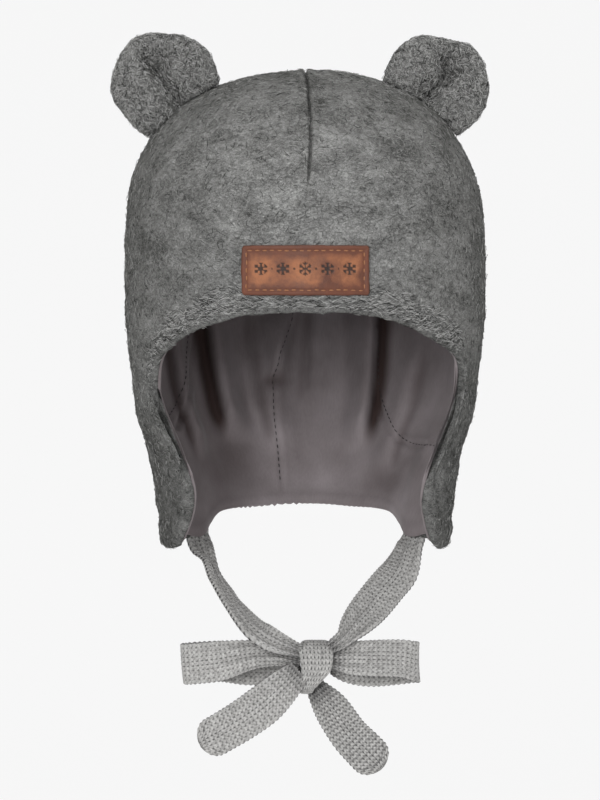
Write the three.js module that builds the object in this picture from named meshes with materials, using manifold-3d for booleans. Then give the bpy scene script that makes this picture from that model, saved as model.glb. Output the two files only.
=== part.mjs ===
// Baby hat with two round padded ears: a felted wool crown with a face opening and ear
// flaps, a folded jersey lining, a sewn leather patch and knitted ties in a bow.
// Millimetres, +Z up, the face opening looks along -Y. The origin is the inside top of the
// crown, where the head carries the hat.
import * as THREE from 'three';
import Module from 'manifold-3d';

// Sizes of the hat
const HALF_WIDTH = 76;
const FRONT_REACH = 84;
const BACK_REACH = 88;
const DOME_HEIGHT = 75;
const DOME_ROUND = 2.35;
const FOREHEAD_DROP = 101;
const NAPE_DROP = 183;
const FLAP_DROP = 199;

// Sizes of the cloth layers and seams
const FELT = 3;
const LINING = 1;
const GAP = 0.3;
const EDGE_ROLL = 0.9;
const LINING_INSET = 1.6;
const SEAM_DEPTH = 1.5;
const SEAM_WIDTH = 9;
const DART_DROP = 58;
const FOLD_HEIGHT = 5;

// Sizes of the ears
const EAR_RADIUS = 23.4;
const EAR_THICKNESS = 15;
const EAR_BACKSET = 4;
const EAR_CREASE = 4.5;
const EAR_CUP = 5;

// Sizes of the forehead patch
const PATCH_WIDTH = 50;
const PATCH_HEIGHT = 20;
const PATCH_THICKNESS = 1.6;
const PATCH_DROP = 83.8;
const PATCH_CORNER = 1.5;

// Sizes of the ties and the bow
const TAPE_WIDTH = 17;
const TAPE_THICKNESS = 2.2;
const TAPE_GROOVE = 0.44;
const TIE_REACH = 46.5;
const KNOT_DROP = 249;
const KNOT_ASIDE = 3;
const KNOT_FORWARD = 8;
const KNOT_WIDTH = 14.5;
const KNOT_HEIGHT = 22;
const KNOT_DEPTH = 15;
const LEFT_LOOP_REACH = 55;
const RIGHT_LOOP_REACH = 45;
const LOOP_DEPTH = 9;
const LEFT_TAIL_LENGTH = 48;
const RIGHT_TAIL_LENGTH = 34;

// How finely the surfaces are divided
const FACE_COLUMNS = 16;
const NAPE_COLUMNS = 15;
const DOME_ROWS = 7;
const SKIRT_ROWS = 7;
const EAR_RINGS = 5;
const EAR_SPOKES = 24;
const PATCH_COLUMNS = 12;
const PATCH_ROWS = 5;
const KNOT_SIDES = 14;
const TIE_STEPS = 14;
const LOOP_STEPS = 24;
const TAIL_STEPS = 10;

// Where the column that ends at the flap tip leaves the crown, in degrees from the front
const TIP_COLUMN_TURN = 102;
// The dome row below which the filled crown that trims the ears is closed off
const TRIM_ROW = DOME_ROWS;

const DEG = Math.PI / 180;
const WALL = FELT + GAP + LINING;

// The skirt's sections. level: share of the way from the dome down to the flap tips;
// wide, front, back: shares of the half width and the reaches; tuck: the share by which the
// sides draw in behind the flaps
const SECTIONS = [
  { level: 0.0, wide: 1.0, front: 1.0, back: 1.0, tuck: 0.0 },
  { level: 0.2, wide: 0.992, front: 0.99, back: 1.0, tuck: 0.005 },
  { level: 0.37, wide: 0.97, front: 0.95, back: 0.985, tuck: 0.02 },
  { level: 0.54, wide: 0.939, front: 0.885, back: 0.95, tuck: 0.06 },
  { level: 0.66, wide: 0.885, front: 0.82, back: 0.9, tuck: 0.1 },
  { level: 0.78, wide: 0.845, front: 0.765, back: 0.835, tuck: 0.145 },
  { level: 0.88, wide: 0.826, front: 0.735, back: 0.77, tuck: 0.175 },
  { level: 1.0, wide: 0.8, front: 0.715, back: 0.7, tuck: 0.2 },
];

// The face edge. left, right: degrees round from the front; fall: share of the way from
// the forehead edge down to the flap tip
const FACE_EDGE = [
  { left: 0, right: 0, fall: 0.0 },
  { left: 11, right: 11, fall: 0.004 },
  { left: 21.4, right: 22.5, fall: 0.02 },
  { left: 29.5, right: 31, fall: 0.046 },
  { left: 38.9, right: 39.5, fall: 0.085 },
  { left: 47, right: 49, fall: 0.135 },
  { left: 54, right: 58.5, fall: 0.18 },
  { left: 58, right: 63.5, fall: 0.23 },
  { left: 60.3, right: 65, fall: 0.31 },
  { left: 61.4, right: 64.8, fall: 0.41 },
  { left: 60, right: 63.3, fall: 0.5 },
  { left: 57.3, right: 60.8, fall: 0.59 },
  { left: 52.6, right: 57.6, fall: 0.66 },
  { left: 49, right: 54, fall: 0.73 },
  { left: 48.8, right: 52.9, fall: 0.8 },
  { left: 51.2, right: 55.4, fall: 0.87 },
  { left: 56.5, right: 59.5, fall: 0.94 },
  { left: 62, right: 64.5, fall: 0.985 },
  { left: 70, right: 72, fall: 1.0 },
];

// The rest of the edge. fall: share of the way from the nape edge down to the flap tip
const NAPE_EDGE = [
  { left: 70, right: 72, fall: 1.0 },
  { left: 82, right: 84, fall: 0.97 },
  { left: 94, right: 95, fall: 0.93 },
  { left: 105, right: 105, fall: 0.86 },
  { left: 113, right: 113, fall: 0.74 },
  { left: 119, right: 119, fall: 0.5 },
  { left: 124, right: 124, fall: 0.26 },
  { left: 130, right: 130, fall: 0.12 },
  { left: 141, right: 141, fall: 0.06 },
  { left: 155, right: 155, fall: 0.05 },
  { left: 169, right: 169, fall: 0.01 },
  { left: 180, right: 180, fall: 0.0 },
];

// The lining's folds. turn: degrees from the front, left negative; lean: degrees that the
// fold drifts on its way down; spread: degrees; height: share of the fold height;
// top, foot: shares of the nape drop between which it stands
const FOLDS = [
  { turn: -147, lean: -2, spread: 9, height: 1.0, top: 0.48, foot: 0.86 },
  { turn: 156, lean: -3, spread: 9, height: 0.9, top: 0.46, foot: 0.92 },
  { turn: -168, lean: -3, spread: 8, height: 0.45, top: 0.55, foot: 0.98 },
  { turn: -128, lean: 3, spread: 8, height: 0.35, top: 0.6, foot: 0.95 },
  { turn: 133, lean: 2, spread: 9, height: 0.45, top: 0.66, foot: 0.96 },
];

// The ears. seat: degrees down the dome from the crown top; lean: degrees out from upright;
// rise: how far the middle stands off the felt, a share of the radius
const EARS = [
  { side: 'left', sign: -1, seat: 39.8, lean: 36, rise: 0.49 },
  { side: 'right', sign: 1, seat: 37.7, lean: 37, rise: 0.33 },
];

// The bow's knot. rise: share of the height; wide, deep: shares of the width and depth;
// aside: share of the width
const KNOT_SECTIONS = [
  { rise: -0.55, wide: 0.2, deep: 0.4, aside: -0.17 },
  { rise: -0.48, wide: 0.42, deep: 0.66, aside: -0.14 },
  { rise: -0.32, wide: 0.66, deep: 0.9, aside: -0.04 },
  { rise: -0.1, wide: 0.86, deep: 1.0, aside: 0.11 },
  { rise: 0.12, wide: 0.95, deep: 1.0, aside: 0.13 },
  { rise: 0.36, wide: 1.0, deep: 0.9, aside: 0.1 },
  { rise: 0.45, wide: 0.86, deep: 0.62, aside: 0.09 },
];
// Where the ties end on the knot, shares of its height and depth
const LEFT_TIE_END = { rise: 0.19, back: -0.42 };
const RIGHT_TIE_END = { rise: 0.33, back: -0.4 };
// Where the tails leave the knot, shares of its width, height and depth
const LEFT_TAIL_FOOT = { aside: -0.43, rise: -0.2, back: -0.26 };
const RIGHT_TAIL_FOOT = { aside: 0.08, rise: -0.42, back: 0.0 };

// The straps' rows. wx, wy, wz: the direction across the tape, with x out from the knot;
// width: share of the tape width. The ties run by shares of the way from the flap to the
// knot, and out and back are shares of the tape width that they stand off it.
const LEFT_TIE = [
  { along: 0.12, out: -0.03, back: 0.0, wx: -0.5, wy: 0.85, wz: 0.2, width: 0.8 },
  { along: 0.25, out: 0.2, back: -0.06, wx: -0.2, wy: 0.95, wz: 0.16, width: 0.8 },
  { along: 0.42, out: 0.34, back: -0.3, wx: -0.24, wy: 0.93, wz: 0.26, width: 0.95 },
  { along: 0.57, out: 0.41, back: -0.46, wx: -0.24, wy: 0.93, wz: 0.26, width: 0.95 },
  { along: 0.78, out: 0.46, back: -0.6, wx: -0.36, wy: 0.82, wz: 0.44, width: 0.85 },
  { along: 0.89, out: 0.3, back: -0.42, wx: -0.5, wy: 0.4, wz: 0.75, width: 0.56 },
  { along: 1.0, out: 0.0, back: 0.0, wx: -0.5, wy: 0.05, wz: 0.8, width: 0.25 },
];
const RIGHT_TIE = [
  { along: 0.12, out: -0.14, back: 0.0, wx: 0.6, wy: -0.8, wz: 0.1, width: 0.75 },
  { along: 0.32, out: 0.2, back: -0.02, wx: 0.75, wy: -0.55, wz: -0.4, width: 1.0 },
  { along: 0.46, out: 0.23, back: -0.08, wx: 0.78, wy: -0.4, wz: -0.48, width: 1.0 },
  { along: 0.65, out: 0.23, back: -0.2, wx: 0.8, wy: -0.4, wz: -0.48, width: 0.95 },
  { along: 0.78, out: 0.19, back: -0.34, wx: 0.78, wy: -0.35, wz: -0.5, width: 0.75 },
  { along: 0.9, out: 0.15, back: -0.38, wx: 0.75, wy: -0.2, wz: -0.55, width: 0.42 },
  { along: 1.0, out: 0.0, back: 0.0, wx: 0.7, wy: 0.0, wz: -0.7, width: 0.28 },
];
// The loops run out in front of the knot and come back behind. out: share of the way from
// the knot's side to the reach; back: share of the loop depth; rise: share of the tape width
const LEFT_LOOP = [
  { out: 0.0, back: -0.25, rise: 0.1, wx: 0.0, wy: 0.0, wz: 1.0, width: 0.46 },
  { out: 0.13, back: -0.4, rise: 0.2, wx: 0.02, wy: 0.2, wz: 1.0, width: 0.52 },
  { out: 0.27, back: -0.5, rise: 0.26, wx: 0.06, wy: 0.3, wz: 1.0, width: 0.62 },
  { out: 0.44, back: -0.58, rise: 0.25, wx: 0.1, wy: 0.35, wz: 1.0, width: 0.78 },
  { out: 0.67, back: -0.6, rise: 0.13, wx: 0.08, wy: 0.2, wz: 1.0, width: 0.98 },
  { out: 0.87, back: -0.54, rise: 0.06, wx: 0.05, wy: 0.05, wz: 1.0, width: 1.0 },
  { out: 0.965, back: -0.36, rise: 0.03, wx: 0.06, wy: 0.0, wz: 1.0, width: 1.0 },
  { out: 1.0, back: 0.0, rise: 0.02, wx: 0.08, wy: 0.0, wz: 1.0, width: 1.0 },
  { out: 0.965, back: 0.36, rise: 0.02, wx: 0.08, wy: 0.0, wz: 1.0, width: 1.0 },
  { out: 0.87, back: 0.5, rise: 0.04, wx: 0.06, wy: 0.0, wz: 1.0, width: 1.0 },
  { out: 0.67, back: 0.54, rise: 0.05, wx: 0.0, wy: 0.0, wz: 1.0, width: 1.0 },
  { out: 0.44, back: 0.48, rise: -0.04, wx: -0.06, wy: 0.0, wz: 1.0, width: 0.98 },
  { out: 0.2, back: 0.36, rise: -0.08, wx: -0.06, wy: 0.0, wz: 1.0, width: 0.8 },
  { out: 0.0, back: 0.28, rise: -0.02, wx: 0.0, wy: 0.0, wz: 1.0, width: 0.56 },
];
const RIGHT_LOOP = [
  { out: 0.0, back: -0.28, rise: 0.17, wx: 0.0, wy: 0.2, wz: 1.0, width: 0.5 },
  { out: 0.2, back: -0.5, rise: 0.19, wx: 0.0, wy: 0.45, wz: 1.0, width: 0.84 },
  { out: 0.5, back: -0.66, rise: 0.19, wx: 0.0, wy: 0.62, wz: 1.0, width: 1.0 },
  { out: 0.8, back: -0.6, rise: 0.17, wx: 0.0, wy: 0.5, wz: 1.0, width: 1.0 },
  { out: 0.95, back: -0.38, rise: 0.1, wx: 0.0, wy: 0.25, wz: 1.0, width: 1.0 },
  { out: 1.0, back: 0.0, rise: 0.06, wx: -0.03, wy: 0.05, wz: 1.0, width: 1.0 },
  { out: 0.95, back: 0.38, rise: 0.04, wx: -0.03, wy: 0.0, wz: 1.0, width: 1.0 },
  { out: 0.75, back: 0.52, rise: -0.02, wx: 0.0, wy: 0.0, wz: 1.0, width: 1.0 },
  { out: 0.45, back: 0.48, rise: -0.06, wx: 0.0, wy: 0.0, wz: 1.0, width: 1.0 },
  { out: 0.2, back: 0.36, rise: -0.04, wx: 0.0, wy: 0.0, wz: 1.0, width: 0.86 },
  { out: 0.0, back: 0.28, rise: 0.02, wx: 0.0, wy: 0.0, wz: 1.0, width: 0.56 },
];
// The tails. out, down, back: shares of the tail length
const LEFT_TAIL = [
  { out: 0.0, down: 0.0, back: 0.0, wx: 0.6, wy: 0.0, wz: 0.8, width: 0.46 },
  { out: 0.13, down: 0.14, back: -0.03, wx: 0.66, wy: 0.0, wz: 0.75, width: 0.82 },
  { out: 0.3, down: 0.28, back: -0.05, wx: 0.62, wy: 0.05, wz: 0.78, width: 1.0 },
  { out: 0.49, down: 0.415, back: -0.06, wx: 0.58, wy: 0.08, wz: 0.8, width: 1.0 },
  { out: 0.68, down: 0.53, back: -0.06, wx: 0.52, wy: 0.08, wz: 0.84, width: 0.98 },
  { out: 0.78, down: 0.585, back: -0.05, wx: 0.5, wy: 0.05, wz: 0.86, width: 0.9 },
  { out: 0.845, down: 0.62, back: -0.04, wx: 0.5, wy: 0.05, wz: 0.86, width: 0.62 },
];
const RIGHT_TAIL = [
  { out: 0.0, down: 0.0, back: 0.0, wx: 0.85, wy: 0.0, wz: 0.5, width: 0.5 },
  { out: 0.19, down: 0.25, back: -0.02, wx: 0.82, wy: 0.05, wz: 0.56, width: 0.86 },
  { out: 0.41, down: 0.57, back: -0.05, wx: 0.8, wy: 0.1, wz: 0.6, width: 0.95 },
  { out: 0.59, down: 0.76, back: -0.07, wx: 0.76, wy: 0.12, wz: 0.64, width: 1.0 },
  { out: 0.73, down: 0.9, back: -0.07, wx: 0.72, wy: 0.12, wz: 0.68, width: 0.95 },
  { out: 0.82, down: 0.985, back: -0.07, wx: 0.7, wy: 0.12, wz: 0.7, width: 0.66 },
];

const lerp = THREE.MathUtils.lerp;
const clamp = THREE.MathUtils.clamp;

// A smooth curve through one column of a table, at a value of its key column
function smoothAt(rows, key, column, at) {
  const last = rows.length - 1;
  let i = 0;
  while (i < last - 1 && rows[i + 1][key] < at) i += 1;
  const slope = (k) => {
    const a = rows[Math.max(k - 1, 0)];
    const b = rows[Math.min(k + 1, last)];
    return (b[column] - a[column]) / (b[key] - a[key]);
  };
  const span = rows[i + 1][key] - rows[i][key];
  const t = clamp((at - rows[i][key]) / span, 0, 1);
  const start = rows[i][column] * (1 + 2 * t) * (1 - t) ** 2;
  const finish = rows[i + 1][column] * (3 - 2 * t) * t ** 2;
  const leave = slope(i) * span * t * (1 - t) ** 2;
  const arrive = slope(i + 1) * span * t ** 2 * (1 - t);
  return start + finish + leave - arrive;
}

// A bump that is 1 at the middle and 0 from one spread away
function bump(distance, spread) {
  return Math.max(0, 1 - (distance / spread) ** 2) ** 2;
}

// The felt's outer face at a turn from the front, left negative, and a drop from the top
function bodyPoint(turn, drop) {
  const level = clamp((drop - DOME_HEIGHT) / (FLAP_DROP - DOME_HEIGHT), 0, 1);
  const short = clamp(1 - drop / DOME_HEIGHT, 0, 1);
  const spread = (1 - short ** DOME_ROUND) ** (1 / DOME_ROUND);
  const sin = Math.sin(turn * DEG);
  const cos = Math.cos(turn * DEG);
  const behind = THREE.MathUtils.smoothstep(-cos, -0.1, 0.45);
  const tuck = behind * smoothAt(SECTIONS, 'level', 'tuck', level);
  const wide = HALF_WIDTH * (1 - tuck) * smoothAt(SECTIONS, 'level', 'wide', level);
  const front = FRONT_REACH * smoothAt(SECTIONS, 'level', 'front', level);
  const back = BACK_REACH * smoothAt(SECTIONS, 'level', 'back', level);
  const reach = cos > 0 ? front : back;
  return new THREE.Vector3(spread * wide * sin, -spread * reach * cos, WALL - drop);
}

// The way out of the felt's outer face
function bodyNormal(turn, drop) {
  if (drop < 1e-6) return new THREE.Vector3(0, 0, 1);
  const step = Math.min(1, drop / 2);
  const round = bodyPoint(turn + 1, drop).sub(bodyPoint(turn - 1, drop));
  const down = bodyPoint(turn, drop + step).sub(bodyPoint(turn, drop - step));
  return down.cross(round).normalize();
}

// A point off the body along its normal, outwards when positive
function offBody(turn, drop, distance) {
  return bodyPoint(turn, drop).addScaledVector(bodyNormal(turn, drop), distance);
}

// One stretch of the hat's edge on one side, as places evenly spaced along it
function edgePlaces(rows, side, highDrop, count) {
  const sign = side === 'left' ? -1 : 1;
  const fine = 240;
  const places = [];
  const keyed = rows.map((row, i) => ({ ...row, key: i }));
  for (let i = 0; i <= fine; i += 1) {
    const at = (i / fine) * (rows.length - 1);
    const turn = sign * smoothAt(keyed, 'key', side, at);
    const drop = lerp(highDrop, FLAP_DROP, smoothAt(keyed, 'key', 'fall', at));
    const far = i === 0 ? 0 : bodyPoint(turn, drop).distanceTo(places[i - 1].point);
    const length = i === 0 ? 0 : places[i - 1].length + far;
    places.push({ turn, drop, length, point: bodyPoint(turn, drop) });
  }
  const total = places[fine].length;
  const chosen = [];
  for (let i = 0; i <= count; i += 1) {
    const next = places.findIndex((p) => p.length >= (i / count) * total - 1e-9);
    chosen.push({ turn: places[next].turn, drop: places[next].drop });
  }
  return chosen;
}

// The columns of one side, front centre to back centre: the turn at which each leaves the
// crown, and the place on the edge where it ends
function sideColumns(side) {
  const sign = side === 'left' ? -1 : 1;
  const face = edgePlaces(FACE_EDGE, side, FOREHEAD_DROP, FACE_COLUMNS);
  const nape = edgePlaces(NAPE_EDGE, side, NAPE_DROP, NAPE_COLUMNS);
  const columns = [];
  face.forEach((edge, i) => {
    columns.push({ turn: (sign * TIP_COLUMN_TURN * i) / FACE_COLUMNS, edge });
  });
  nape.slice(1).forEach((edge, i) => {
    const turn = lerp(TIP_COLUMN_TURN, 180, (i + 1) / NAPE_COLUMNS);
    columns.push({ turn: sign * turn, edge });
  });
  return columns;
}

// All the columns in order round the hat, seen from above from the front to the left first
function allColumns() {
  const left = sideColumns('left');
  const right = sideColumns('right');
  return [...left, ...right.slice(1, -1).reverse()];
}

// The places down one column: evenly round the dome, then straight to where the lining
// ends and on to the felt's edge. The first place, the crown's top, is shared and left out.
function columnPlaces(column) {
  const places = [];
  for (let i = 1; i <= DOME_ROWS; i += 1) {
    const angle = ((i / DOME_ROWS) * Math.PI) / 2;
    const drop = DOME_HEIGHT * (1 - Math.cos(angle) ** (2 / DOME_ROUND));
    places.push({ turn: column.turn, drop });
  }
  const run = bodyPoint(column.turn, DOME_HEIGHT).distanceTo(
    bodyPoint(column.edge.turn, column.edge.drop),
  );
  const hem = 1 - LINING_INSET / run;
  for (let i = 1; i <= SKIRT_ROWS + 1; i += 1) {
    const share = i > SKIRT_ROWS ? 1 : (hem * i) / SKIRT_ROWS;
    const turn = lerp(column.turn, column.edge.turn, share);
    places.push({ turn, drop: lerp(DOME_HEIGHT, column.edge.drop, share) });
  }
  return places;
}

// How deep the felt is drawn in along its centre seam: a dart over the forehead that runs
// over the crown and down the back to the nape
function seamDepth(point, turn, drop) {
  const front = Math.abs(turn) < 90;
  const end = front ? DART_DROP : NAPE_DROP * 2;
  const fade = clamp((end - drop) / (0.3 * end), 0, 1);
  return SEAM_DEPTH * fade * bump(Math.abs(point.x), SEAM_WIDTH / 2);
}

// How far the lining stands in from the felt in its folds
function foldHeight(turn, drop) {
  let height = 0;
  for (const fold of FOLDS) {
    const share = (drop / NAPE_DROP - fold.top) / (fold.foot - fold.top);
    const rise = clamp(share * 4, 0, 1) * clamp((1 - share) * 5, 0, 1);
    const away = ((turn - fold.turn - fold.lean * share + 540) % 360) - 180;
    height += FOLD_HEIGHT * fold.height * rise * bump(away, fold.spread);
  }
  return height;
}

// A geometry from a list of points and triangles of their numbers, turned to face out
function geometryOf(points, triangles) {
  let volume = 0;
  for (const [a, b, c] of triangles) {
    volume += points[a].dot(new THREE.Vector3().crossVectors(points[b], points[c]));
  }
  const faces = volume < 0 ? triangles.map(([a, b, c]) => [a, c, b]) : triangles;
  const geometry = new THREE.BufferGeometry();
  geometry.setFromPoints(points);
  geometry.setIndex(faces.flat());
  return geometry;
}

// A closed cup: rings joined one to the next round a pole at each end. leansOn says which
// way a four-sided field is split, by its ring and its place round it.
function cupGeometry(rings, firstPole, lastPole, leansOn = () => true) {
  const round = rings[0].length;
  const points = [firstPole, ...rings.flat(), lastPole];
  const triangles = [];
  const last = points.length - 1;
  for (let j = 0; j < round; j += 1) {
    const k = (j + 1) % round;
    triangles.push([0, 1 + j, 1 + k]);
    for (let i = 0; i < rings.length - 1; i += 1) {
      const a = 1 + i * round;
      const b = a + round;
      if (leansOn(i, j)) triangles.push([a + j, b + j, b + k], [a + j, b + k, a + k]);
      else triangles.push([a + j, b + j, a + k], [a + k, b + j, b + k]);
    }
    const end = last - round;
    triangles.push([end + j, last, end + k]);
  }
  return geometryOf(points, triangles);
}

// The places of the whole hat, column by column, and which way each field between them is
// split: across its shorter diagonal, the same in every layer
function hatGrid() {
  const columns = allColumns().map(columnPlaces);
  const points = columns.map((places) => places.map((p) => bodyPoint(p.turn, p.drop)));
  const splits = (row, j) => {
    const here = points[j];
    const next = points[(j + 1) % points.length];
    return here[row].distanceTo(next[row + 1]) <= next[row].distanceTo(here[row + 1]);
  };
  return { columns, splits };
}

// A cloth layer of the hat between two distances inside the felt's outer face. outside and
// inside give the distance in at a place; roll is how far the cut edge bulges.
function layerGeometry(outside, inside, rows, roll) {
  const { columns, splits } = hatGrid();
  const ring = (row, depth) => columns.map((places) => {
    const { turn, drop } = places[row];
    return offBody(turn, drop, -depth(turn, drop));
  });
  const rings = [];
  for (let row = 0; row < rows; row += 1) rings.push(ring(row, outside));
  if (roll > 0) {
    const middle = (turn, drop) => (outside(turn, drop) + inside(turn, drop)) / 2;
    const before = ring(rows - 2, middle);
    const edge = ring(rows - 1, middle);
    rings.push(edge.map((point, i) => {
      const on = point.clone().sub(before[i]).normalize();
      return point.addScaledVector(on, roll);
    }));
  }
  for (let row = rows - 1; row >= 0; row -= 1) rings.push(ring(row, inside));
  const top = new THREE.Vector3(0, 0, WALL - outside(0, 0));
  const under = new THREE.Vector3(0, 0, WALL - inside(0, 0));
  const back = rings.length - 2;
  const leansOn = (i, j) => {
    if (i < rows - 1) return splits(i, j);
    return i <= back - rows + 1 || !splits(back - i, j);
  };
  return cupGeometry(rings, top, under, leansOn);
}

// The felt crown with its flaps
function crownGeometry() {
  const outside = (turn, drop) => seamDepth(bodyPoint(turn, drop), turn, drop);
  return layerGeometry(outside, () => FELT, DOME_ROWS + SKIRT_ROWS + 1, EDGE_ROLL);
}

// The jersey lining with its folds
function liningGeometry() {
  const outside = (turn, drop) => FELT + GAP + foldHeight(turn, drop);
  const inside = (turn, drop) => WALL + foldHeight(turn, drop);
  return layerGeometry(outside, inside, DOME_ROWS + SKIRT_ROWS, 0);
}

// The crown filled solid and a gap larger all round, which trims what stands on it
function filledCrownGeometry() {
  const { columns, splits } = hatGrid();
  const rings = [];
  for (let row = 0; row < TRIM_ROW; row += 1) {
    rings.push(columns.map((places) => offBody(places[row].turn, places[row].drop, GAP)));
  }
  const top = new THREE.Vector3(0, 0, WALL + GAP);
  return cupGeometry(rings, top, new THREE.Vector3(0, 0, WALL - DOME_HEIGHT), splits);
}

// One ear before it is trimmed, about its own middle: x across, y back, z along its axis
function earBlankGeometry() {
  const face = (across, up, front) => {
    const reach = Math.hypot(across, up) / EAR_RADIUS;
    const half = (EAR_THICKNESS / 2) * Math.sqrt(Math.max(0, 1 - reach ** 2.6));
    const low = clamp(0.62 - up / EAR_RADIUS, 0, 1);
    const crease = EAR_CREASE * low * bump(across, EAR_RADIUS * 0.34);
    const cup = -EAR_CUP * (0.35 + 0.65 * low) * (across / EAR_RADIUS) ** 2;
    return cup + (front ? -half + Math.min(crease, half * 0.7) : half);
  };
  const ring = (share, front) => {
    const points = [];
    for (let i = 0; i < EAR_SPOKES; i += 1) {
      const angle = (i / EAR_SPOKES) * 2 * Math.PI;
      const across = EAR_RADIUS * share * Math.sin(angle);
      const up = EAR_RADIUS * share * Math.cos(angle);
      points.push(new THREE.Vector3(across, face(across, up, front), up));
    }
    return points;
  };
  const shares = [];
  for (let i = 1; i <= EAR_RINGS; i += 1) {
    shares.push(Math.sin(((i / EAR_RINGS) * Math.PI) / 2));
  }
  const rings = shares.map((share) => ring(share, true));
  shares.slice(0, -1).reverse().forEach((share) => rings.push(ring(share, false)));
  const middle = (front) => new THREE.Vector3(0, face(0, 0, front), 0);
  return cupGeometry(rings, middle(true), middle(false));
}

// A closed geometry as a solid that can be cut
function solidOf(wasm, geometry) {
  return new wasm.Manifold(new wasm.Mesh({
    numProp: 3,
    vertProperties: Float32Array.from(geometry.attributes.position.array),
    triVerts: Uint32Array.from(geometry.index.array),
  }));
}

// A cut solid as a geometry again
function geometryFrom(solid) {
  const { vertProperties, triVerts, numProp } = solid.getMesh();
  const points = [];
  for (let i = 0; i < vertProperties.length; i += numProp) {
    points.push(new THREE.Vector3(...vertProperties.slice(i, i + 3)));
  }
  const geometry = new THREE.BufferGeometry();
  geometry.setFromPoints(points);
  geometry.setIndex(Array.from(triVerts));
  return geometry;
}

// An ear leaning out of the crown's ridge, trimmed to sit on the felt
function earGeometry(wasm, ear) {
  const drop = DOME_HEIGHT * (1 - Math.cos(ear.seat * DEG) ** (2 / DOME_ROUND));
  const seat = bodyPoint(ear.sign * 90, drop);
  const axis = new THREE.Vector3(ear.sign * Math.sin(ear.lean * DEG), 0, 0);
  axis.z = Math.cos(ear.lean * DEG);
  const middle = seat.addScaledVector(axis, EAR_RADIUS * ear.rise);
  const blank = earBlankGeometry();
  blank.rotateY(ear.sign * ear.lean * DEG);
  blank.translate(middle.x, -EAR_BACKSET, middle.z);
  const trimmed = solidOf(wasm, blank).subtract(solidOf(wasm, filledCrownGeometry()));
  return geometryFrom(trimmed);
}

// The leather patch, bent round the forehead with its corners cut off short
function patchGeometry() {
  const place = (u, v, distance) => {
    const isCorner = Math.abs(u) === 1 && Math.abs(v) === 1;
    const cut = isCorner ? PATCH_CORNER / 2 : 0;
    const x = u * (PATCH_WIDTH / 2 - cut);
    const drop = PATCH_DROP + v * (PATCH_HEIGHT / 2 - cut);
    const level = bodyPoint(90, drop);
    return offBody(Math.asin(x / level.x) / DEG, drop, distance);
  };
  const points = [];
  const triangles = [];
  const grids = [GAP + PATCH_THICKNESS, GAP].map((distance) => {
    const rows = [];
    for (let j = 0; j <= PATCH_ROWS; j += 1) {
      const row = [];
      for (let i = 0; i <= PATCH_COLUMNS; i += 1) {
        const u = (2 * i) / PATCH_COLUMNS - 1;
        const v = (2 * j) / PATCH_ROWS - 1;
        row.push(points.push(place(u, v, distance)) - 1);
      }
      rows.push(row);
    }
    return rows;
  });
  grids.forEach((grid, under) => {
    for (let j = 0; j < PATCH_ROWS; j += 1) {
      for (let i = 0; i < PATCH_COLUMNS; i += 1) {
        const quad = [grid[j][i], grid[j][i + 1], grid[j + 1][i + 1], grid[j + 1][i]];
        if (under) quad.reverse();
        triangles.push([quad[0], quad[1], quad[2]], [quad[0], quad[2], quad[3]]);
      }
    }
  });
  const outline = (grid) => [
    ...grid[0].slice(0, -1),
    ...grid.slice(0, -1).map((row) => row[PATCH_COLUMNS]),
    ...[...grid[PATCH_ROWS]].reverse().slice(0, -1),
    ...[...grid].reverse().slice(0, -1).map((row) => row[0]),
  ];
  const [over, below] = grids.map(outline);
  over.forEach((a, i) => {
    const k = (i + 1) % over.length;
    triangles.push([a, below[i], below[k]], [a, below[k], over[k]]);
  });
  return geometryOf(points, triangles);
}

// A flat knitted tape through rows of places, with the direction across it and its width
function tapeGeometry(rows, steps) {
  const keyed = rows.map((row, i) => ({ ...row, key: i }));
  const at = (column, key) => smoothAt(keyed, 'key', column, key);
  const place = (key) => new THREE.Vector3(at('x', key), at('y', key), at('z', key));
  const rings = [];
  const last = rows.length - 1;
  for (let i = 0; i <= steps; i += 1) {
    const key = (i / steps) * last;
    const near = 0.05;
    const ahead = place(Math.min(key + near, last));
    const run = ahead.sub(place(Math.max(key - near, 0))).normalize();
    const across = new THREE.Vector3(at('wx', key), at('wy', key), at('wz', key));
    across.addScaledVector(run, -across.dot(run)).normalize();
    const out = new THREE.Vector3().crossVectors(run, across);
    const half = (TAPE_WIDTH / 2) * at('width', key);
    const thick = TAPE_THICKNESS / 2;
    const groove = TAPE_GROOVE / thick;
    const outline = [
      [-1, 0],
      [-0.9, 1],
      [0, 1 - groove],
      [0.9, 1],
      [1, 0],
      [0.9, -1],
      [0, groove - 1],
      [-0.9, -1],
    ];
    rings.push(outline.map(([u, v]) => place(key)
      .addScaledVector(across, u * half)
      .addScaledVector(out, v * thick)));
  }
  return cupGeometry(rings, place(0), place(last));
}

// The middle of the knot
const KNOT = new THREE.Vector3(KNOT_ASIDE, -KNOT_FORWARD, WALL - KNOT_DROP);

// The knot, a barrel of tape drawn tight, larger all round by a margin
function knotGeometry(margin = 0) {
  const height = KNOT_HEIGHT + margin * 2;
  const rings = KNOT_SECTIONS.map((row) => {
    const points = [];
    for (let i = 0; i < KNOT_SIDES; i += 1) {
      const angle = (i / KNOT_SIDES) * 2 * Math.PI;
      const x = ((KNOT_WIDTH / 2) * row.wide + margin) * Math.cos(angle);
      const y = ((KNOT_DEPTH / 2) * row.deep + margin) * Math.sin(angle);
      const aside = KNOT_WIDTH * row.aside;
      points.push(new THREE.Vector3(x + aside, y, height * row.rise).add(KNOT));
    }
    return points;
  });
  const middle = (row) => {
    const point = new THREE.Vector3(KNOT_WIDTH * row.aside, 0, height * row.rise);
    return point.add(KNOT);
  };
  const [first] = KNOT_SECTIONS;
  return cupGeometry(rings, middle(first), middle(KNOT_SECTIONS[KNOT_SECTIONS.length - 1]));
}

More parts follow.
